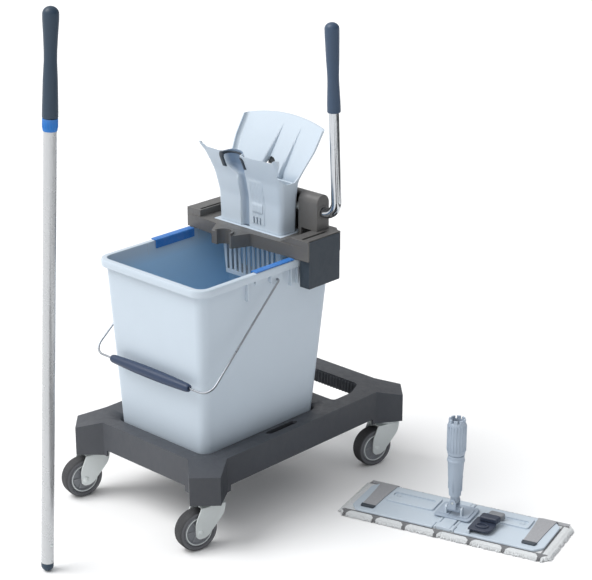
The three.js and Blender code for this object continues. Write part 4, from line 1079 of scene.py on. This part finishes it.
def make_mop_frame():
    spine = soft_box("spine", -12.5, 12.5, -58, 58, 9, 15.6, 0.8, MOP)
    deck = soft_box("deck", -36, 36, -21, 37, 15.4, 18.8, 0.9, MOP, 6)
    step_up = soft_box("step", -30, 30, -13, 29, 18.2, 20.2, 0.8, MOP, 5)
    carved(step_up, slab("notch", box_outline(-8.5, 8.5, -20, 6, 1), 17, 22, 0.01, 1, MOP))
    placed(joined("frame_deck", deck, step_up), JOINT, "mop_head", "joint_plastic")
    parts = [spine]
    for side in (-1, 1):
        for y0, y1 in ((-58, -40), (-9, 9), (40, 58)):
            parts += hinge_parts(side, y0, y1, (11, 17, 14.4))
        corners = [(-11, 18, 0), (1, 18, 0), (1, 33, 0), (-2, 36, 0), (-8, 36, 0), (-11, 33, 0)]
        lug = filleted(corners, [0.8, 0.8, 2.5, 3, 3, 2.5], 5, True)
        parts.append(slab("lug", lug, side * 13.5, side * 17.5, 0.6, 2, MOP, "YZ"))
    obj = joined("frame_centre", *parts)
    placed(obj, PALE, "mop_head", "pale_plastic", "mop_centre_plate", angle=30)
    for side, name in ((1, "right"), (-1, "left")):
        make_wing(side, name)
    paint(ZINC, "fold_pin_right", "fold_pin_left", "pedal_pin", "tilt_pin", "swing_pin")
    obj = refined("joint_yoke", "yoke", 0.7, 2, 35, 2)
    placed(obj, JOINT, "yoke", "joint_plastic", "joint_yoke", angle=30)
    make_pedal()
    make_socket()


def make_wing(side, name):
    plan = [(21, -60), (178, -60), (192, -44), (192, 44), (178, 60), (21, 60)]
    outline = filleted([(side * x, y, 0) for x, y in plan], [3, 8, 10, 10, 8, 3], 6, True)
    parts = [slab("plate", outline, 9, 13.5, 1.1, 3, MOP)]
    for y0, y1 in ((-39.5, -9.5), (9.5, 39.5)):
        parts += hinge_parts(side, y0, y1, (17, 24, 13.4))
    plateau = box_outline(*sorted((side * 44, side * 142)), -4 if side < 0 else 8, 47, 5)
    top = slab("plateau", plateau, 13, 17, 1.2, 3, MOP)
    groove = box_outline(*sorted((side * 52, side * 136)), 17, 33, 4)
    carved(top, slab("groove", groove, 14.2, 19, 0.8, 2, MOP))
    wedge = [(side * 120, 20, 0), (side * 131, 20, 0), (side * 126, 30, 0)]
    parts += [top, slab("wedge", wedge, 14, 16.8, 0.5, 2, MOP)]
    if side > 0:
        parts.append(soft_box("lug", 44, 51, -58, -53.5, 12.8, 21, 0.8, MOP))
        parts.append(soft_box("lug", 44, 51, 1, 5.5, 12.8, 21, 0.8, MOP))
    body = f"wing_{name}"
    placed(joined(f"frame_{body}", *parts), PALE, body, "pale_plastic", f"mop_{body}", angle=30)


def make_pedal():
    outline = [(45.5, -52.5), (80, -52.5), (88, -46), (90, -22), (84, 0), (45.5, 0)]
    outline = filleted([(*p, 0) for p in outline], [4, 5, 6, 6, 5, 4], 5, True)
    flap = slab("flap", outline, 19.5, 23, 1.0, 3, MOP)
    whole = 2 * math.pi
    rim = slab("rim", arc(67, -34, 13, 8.5, 33, whole)[:-1], 22.5, 25.2, 1.0, 3, MOP)
    carved(rim, slab("dish", arc(67, -34, 9.5, 5.6, 33, whole)[:-1], 23.4, 27, 0.6, 2, MOP))
    lobe = [(54, -17, 0), (90, -17, 0), (94, 2, 0), (54, 2, 0)]
    tall = slab("lobe", filleted(lobe, [5, 6, 7, 5], 5, True), 22.5, 33, 3.4, 5, MOP)
    barrel = MOP @ Matrix.Translation((47.5, 0, 18)) @ turned_by(-90, "X")
    roll = [(0, -52.5), (2.6, -52.5), (3, -52), (3, -0.5), (2.6, 0), (0, 0)]
    roll = lathed("roll", roll, 24, barrel)
    stop = soft_box("pedal_stop", 62, 92, 9, 24, 16.5, 29, 3, MOP, 5)
    placed(stop, HUB, "wing_right", "hub_plastic")
    obj = joined("pedal", flap, rim, tall, roll)
    placed(obj, NAVY, "pedal", "navy_plastic", "release_pedal", angle=35)


def make_socket():
    upright = MOP @ Matrix.Translation((0, -5, 0))
    tongue = MOP @ Matrix.Translation((0, -5, 46)) @ turned_by(-90, "X")
    hub = [(2.6, -7.4), (5.9, -7.4), (6.5, -6.8), (6.5, 6.8), (5.9, 7.4), (2.6, 7.4)]
    parts = [lathed("hub", hub, 32, tongue, True)]
    parts.append(soft_box("tongue", -6.5, 6.5, -12.4, 2.4, 48, 66, 1.2, MOP))
    body = [
        (0, 58), (10, 58), (11.2, 59.2), (11.6, 64), (12.2, 72), (13, 84), (13.9, 100), (14.9, 118),
        (15.5, 128), (16.4, 129.4), (16.8, 131.5), (16.4, 133.6), (15.6, 134.8), (15.6, 141),
        (15, 142), (14, 142), (14, 195.4), (13.6, 196), (11.8, 196), (11.8, 81), (0, 80),
    ]
    parts.append(lathed("tube", body, 64, upright))
    for side in (-1, 1):
        pin = MOP @ Matrix.Translation((side * 11, -5, 98)) @ turned_by(90 * side, "Y")
        dimple = [(1.4, 0), (1.4, 3.3), (2.6, 3.3), (3, 2.9), (3, 0)]
        parts.append(lathed("dimple", dimple, 24, pin, True))
    for angle in (0, 90, 180, 270):
        turn = upright @ turned_by(angle, "Z")
        parts.append(soft_box("fin", 11.4, 14.2, -0.9, 0.9, 70, 110, 0.4, turn))
    body = joined("socket_body", *parts)
    placed(body, JOINT, "socket", "joint_plastic", "pole_socket", angle=30)
    sleeve = [(14.3, 144), (15.6, 144), (16.4, 144.8), (16.8, 148)]
    for k in range(13):
        s = k / 12
        sleeve.append((16.6 + 1.0 * math.sin(math.pi * s), 149 + 56 * s))
    sleeve += [(16.2, 207), (15.4, 209), (11.8, 209), (11.8, 198), (14.3, 198)]
    parts = [lathed("sleeve", sleeve, 64, upright, True)]
    for k in range(20):
        turn = upright @ turned_by(18 * k, "Z")
        parts.append(soft_box("rib", 15.8, 18.2, -1.15, 1.15, 151, 203, 0.8, turn))
    for k in range(8):
        turn = upright @ turned_by(45 * k + 10, "Z")
        parts.append(soft_box("crown", 12.0, 15.6, -3.6, 3.6, 207, 215, 0.7, turn))
    body = joined("sleeve_body", *parts)
    placed(body, JOINT, "sleeve", "joint_plastic", "socket_sleeve", angle=30)


# ---- Pad -------------------------------------------------------------------------------

PAD_LENGTH, PAD_WIDTH, PAD_TOP = 210, 73, 8.7
PAD_GAP, PAD_CORNER = 0.4, 16.0
TICKS = [-196, -135, -74, -10, 57, 124, 193]


def pad_band(x, y, z):
    """1 on the pad's grey bands, 0 on its white pile: Y-shaped marks down both long edges, and a line
    of painted shade along the wing plate's edge.
    """
    edge = PAD_WIDTH - abs(y)
    value = 0.0
    if edge < 14:
        for tick in TICKS:
            half = 3.5 + 6 * step(edge, 3, 11)
            value = max(value, 1 - step(abs(x - tick), half - 1.2, half + 1.2))
    if y > 0:
        value = max(value, 1 - step(edge, 5, 7))
    # A grey line on the pad's top along the wing plate's edge: painted shade where the frame meets the
    # pile.
    right = abs(PAD_LENGTH - 17.4 - x) if edge > 13 else 99
    line = (1 - step(min(abs(edge - 12.4), right), 1.2, 2.4)) * step(z, 7, 8)
    return max(value, line)


def pad_plan(u, v):
    """A point of the pad's outline grid, with its two outer corners rounded."""
    x = PAD_GAP + (PAD_LENGTH - PAD_GAP) * u
    y = PAD_WIDTH * (2 * v - 1)
    dx, dy = x - (PAD_LENGTH - PAD_CORNER), abs(y) - (PAD_WIDTH - PAD_CORNER)
    if dx > 0 and dy > 0:
        scale = max(dx, dy) / math.hypot(dx, dy)
        x = PAD_LENGTH - PAD_CORNER + dx * scale
        y = math.copysign(PAD_WIDTH - PAD_CORNER + dy * scale, y)
    return x, y


def make_pad_half(side, name):
    """Half of the pad: a crowned slab of looped pile with frayed tufts round its rim."""
    columns, rows = 106, 74
    rng = random.Random(11 + side)
    top, bottom = [], []
    for i in range(columns + 1):
        for k in range(rows + 1):
            x, y = pad_plan(i / columns, k / rows)
            inset = min(PAD_LENGTH - x, PAD_WIDTH - abs(y))
            ripple = noise.noise(Vector((x * 0.11, y * 0.11, 3.1)))
            fine = noise.noise(Vector((x * 0.5, y * 0.5, 9.7)))
            crown = step(inset, -1, 9)
            high = PAD_TOP - 3.0 * (1 - crown) - 0.5 * abs(ripple) - 0.35 * abs(fine)
            low = 2.2 * (1 - step(inset, 0, 6)) + 0.5 * abs(fine)
            wobble = 1.1 * ripple * (1 - step(inset, 0, 5))
            shrink = 1 - abs(wobble) / 90 if inset < 5 else 1
            top.append((side * x * shrink, y * shrink, high))
            bottom.append((side * x * shrink, y * shrink, low))
    vertices = top + bottom
    total, stride = len(top), rows + 1
    faces = []
    for i in range(columns):
        for k in range(rows):
            a = i * stride + k
            quad = (a, a + 1, a + stride + 1, a + stride)
            faces.append(quad)
            faces.append(tuple(total + q for q in reversed(quad)))
    border = list(range(stride))
    border += [i * stride + rows for i in range(1, columns + 1)]
    border += [columns * stride + k for k in range(rows - 1, -1, -1)]
    border += [i * stride for i in range(columns - 1, 0, -1)]
    for a, b in zip(border, border[1:] + border[:1]):
        faces.append((a, a + total, b + total, b))
    parts = [add_mesh("pad", vertices, faces, MOP)]
    tufts = []  # x, y and outward direction of each
    spacing = 2.5
    for v in (-1, 1):
        x = 4.0
        while x < PAD_LENGTH - 10:
            tufts.append((side * x, v * (PAD_WIDTH - 2.0), 0, v))
            x += spacing
    y = -PAD_WIDTH + 10.0
    while y < PAD_WIDTH - 9:
        tufts.append((side * (PAD_LENGTH - 2.0), y, side, 0))
        y += spacing
    for x, y, nx, ny in tufts:
        for level in (6.0, 3.2):
            reach = rng.uniform(2.4, 6.2) + (6.0 - level) * 0.35
            sway = rng.uniform(-2.4, 2.4)
            px, py = -ny, nx
            line = []
            for s in (0, 0.35, 0.7, 1.0):
                drop = (level - 1.3) * s ** 1.6
                line.append((
                    x + nx * reach * s + px * sway * s, y + ny * reach * s + py * sway * s,
                    level - drop + 0.3 * math.sin(5 * s),
                ))
            parts.append(add_mesh("tuft", *tube(line, [1.2, 1.4, 1.2, 0.4], 6), MOP))
    pad = marked(joined(f"pad_{name}", *parts), "band", MOP, pad_band)
    pad.data.materials.append(FIBRE)
    smooth(pad, 80)
    nodes = [f"pad_{name}"] + (["pad_centre"] if side > 0 else [])
    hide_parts(*nodes)
    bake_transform(pad)


def make_strap(side, name):
    """A woven band from the pad's back edge over the wing, ending in a stiff tab."""
    x0, x1 = 147, 177
    line = [(66, 9.0), (63.5, 11.2), (61.5, 13.6), (58, 14.6), (30, 14.6), (0, 14.6), (-36, 14.6)]
    dense = filleted([(y, z, 0) for y, z in line], [0, 1.5, 2.5, 2, 0, 0, 0], 4)
    widths = [(66, 38), (52, 34), (30, 31), (0, 28), (-36, 26)]
    ys, ws = zip(*reversed(widths))
    centre = (x0 + x1) / 2
    rings = []
    for point in dense:
        y, z = point.x, point.y
        half = float(np.interp(y, ys, ws)) / 2
        ring = []
        for k in range(15):
            u = 2 * k / 14 - 1
            ring.append((side * (centre + half * u), y, z + 0.25 * math.cos(u * 2)))
        rings.append(ring)
    band = add_mesh(f"strap_{name}", *skin(rings, False, False, False), MOP)
    modified(band, "SOLIDIFY", thickness=1.1 * MM, offset=0)
    body = f"wing_{name}"
    placed(band, STRAP, body, "strap_fabric", f"pad_strap_{name}", angle=60)
    plan = [(centre - 14.5, -36), (centre + 14.5, -36), (centre + 13, -47), (centre - 13, -47)]
    outline = filleted([(side * x, y, 0) for x, y in plan], [1, 1, 3, 3], 4, True)
    tab = slab(f"strap_tab_{name}", outline, 13.8, 16.4, 1.0, 3, MOP)
    placed(tab, SLATE, body, "slate_plastic")
    corners = [(146, 60.6), (197, 60.6), (203, 64), (203, 71.5), (146, 71.5)]
    edge = [(side * x, y, 0) for x, y in corners]
    binding = slab(f"strap_edge_{name}", edge, 8.2, 9.8, 0.6, 2, MOP)
    placed(binding, STRAP, body, "strap_fabric")


make_chassis()
make_casters()
make_bucket()
make_bail()
make_wringer()
make_pole()
make_mop_frame()
for pad_side, pad_name in ((1, "right"), (-1, "left")):
    make_pad_half(pad_side, pad_name)
    make_strap(pad_side, pad_name)

# ---- Floor and light -------------------------------------------------------------------


def card(name, corners):
    mesh = bpy.data.meshes.new(name)
    mesh.from_pydata(corners, [], [(0, 1, 2, 3)])
    return linked(name, mesh)


def make_floor():
    size = 30
    floor = card("floor", [(-size, -size, 0), (size, -size, 0), (size, size, 0), (-size, size, 0)])
    m = Finish("floor_paint", 0.8)
    m.shader.inputs["Specular IOR Level"].default_value = 0
    tone = m.noise(3, 3)
    floor.data.materials.append(m.coloured(m.mixed(tone, [0.93, 0.93, 0.93, 1], [0.95, 0.95, 0.95, 1])))


def make_flag(name, near, far):
    """A dark strip laid along the picture's right, seen only in the metal's reflections."""
    right, deep = Vector((0.728, 0.686, 0)), Vector((-0.686, 0.728, 0))
    middle = Vector((-0.22, 0.12, 0.002))
    ends = ((near, -2), (far, -2), (far, 2), (near, 2))
    flag = card(name, [right * across + deep * along + middle for across, along in ends])
    m = Finish(f"{name}_cloth", 0.9)
    cloth = m.mixed(m.noise(20), [0.02, 0.02, 0.02, 1], [0.03, 0.03, 0.03, 1])
    flag.data.materials.append(m.coloured(cloth))
    flag.visible_camera = False
    flag.visible_diffuse = False
    flag.visible_shadow = False


def make_light():
    """A studio that is bright on the picture's left and above, and dim on its right."""
    world = bpy.data.worlds.new("studio")
    world.use_nodes = True
    tree = world.node_tree
    direction = tree.nodes.new("ShaderNodeTexCoord").outputs["Generated"]
    across = tree.nodes.new("ShaderNodeVectorMath")
    across.operation = "DOT_PRODUCT"
    across.inputs[1].default_value = (0.66, 0.62, -0.42)
    tree.links.new(direction, across.inputs[0])
    ramp = tree.nodes.new("ShaderNodeValToRGB")
    bright, dim = ramp.color_ramp.elements
    bright.position, bright.color = 0.3, (1.0, 1.0, 1.0, 1)
    dim.position, dim.color = 0.8, (0.26, 0.28, 0.31, 1)
    halved = tree.nodes.new("ShaderNodeMath")
    halved.operation = "MULTIPLY_ADD"
    halved.inputs[1].default_value = 0.5
    halved.inputs[2].default_value = 0.5
    tree.links.new(across.outputs["Value"], halved.inputs[0])
    tree.links.new(halved.outputs["Value"], ramp.inputs["Fac"])
    tree.links.new(ramp.outputs["Color"], tree.nodes["Background"].inputs["Color"])
    tree.nodes["Background"].inputs["Strength"].default_value = 0.9
    SCENE.world = world
    data = bpy.data.lights.new("key", "SUN")
    data.energy = 2.1
    data.angle = math.radians(38)
    key = bpy.data.objects.new("key", data)
    SCENE.collection.objects.link(key)
    key.rotation_euler = Vector((-0.36, -0.44, 0.82)).to_track_quat("Z", "Y").to_euler()
    make_flag("flag_near", -0.12, 0.5)
    make_flag("flag_middle", 1.0, 1.45)
    make_flag("flag_far", 2.0, 4.0)
    SCENE.view_settings.view_transform = "Standard"
    SCENE.view_settings.look = "None"


make_floor()
make_light()
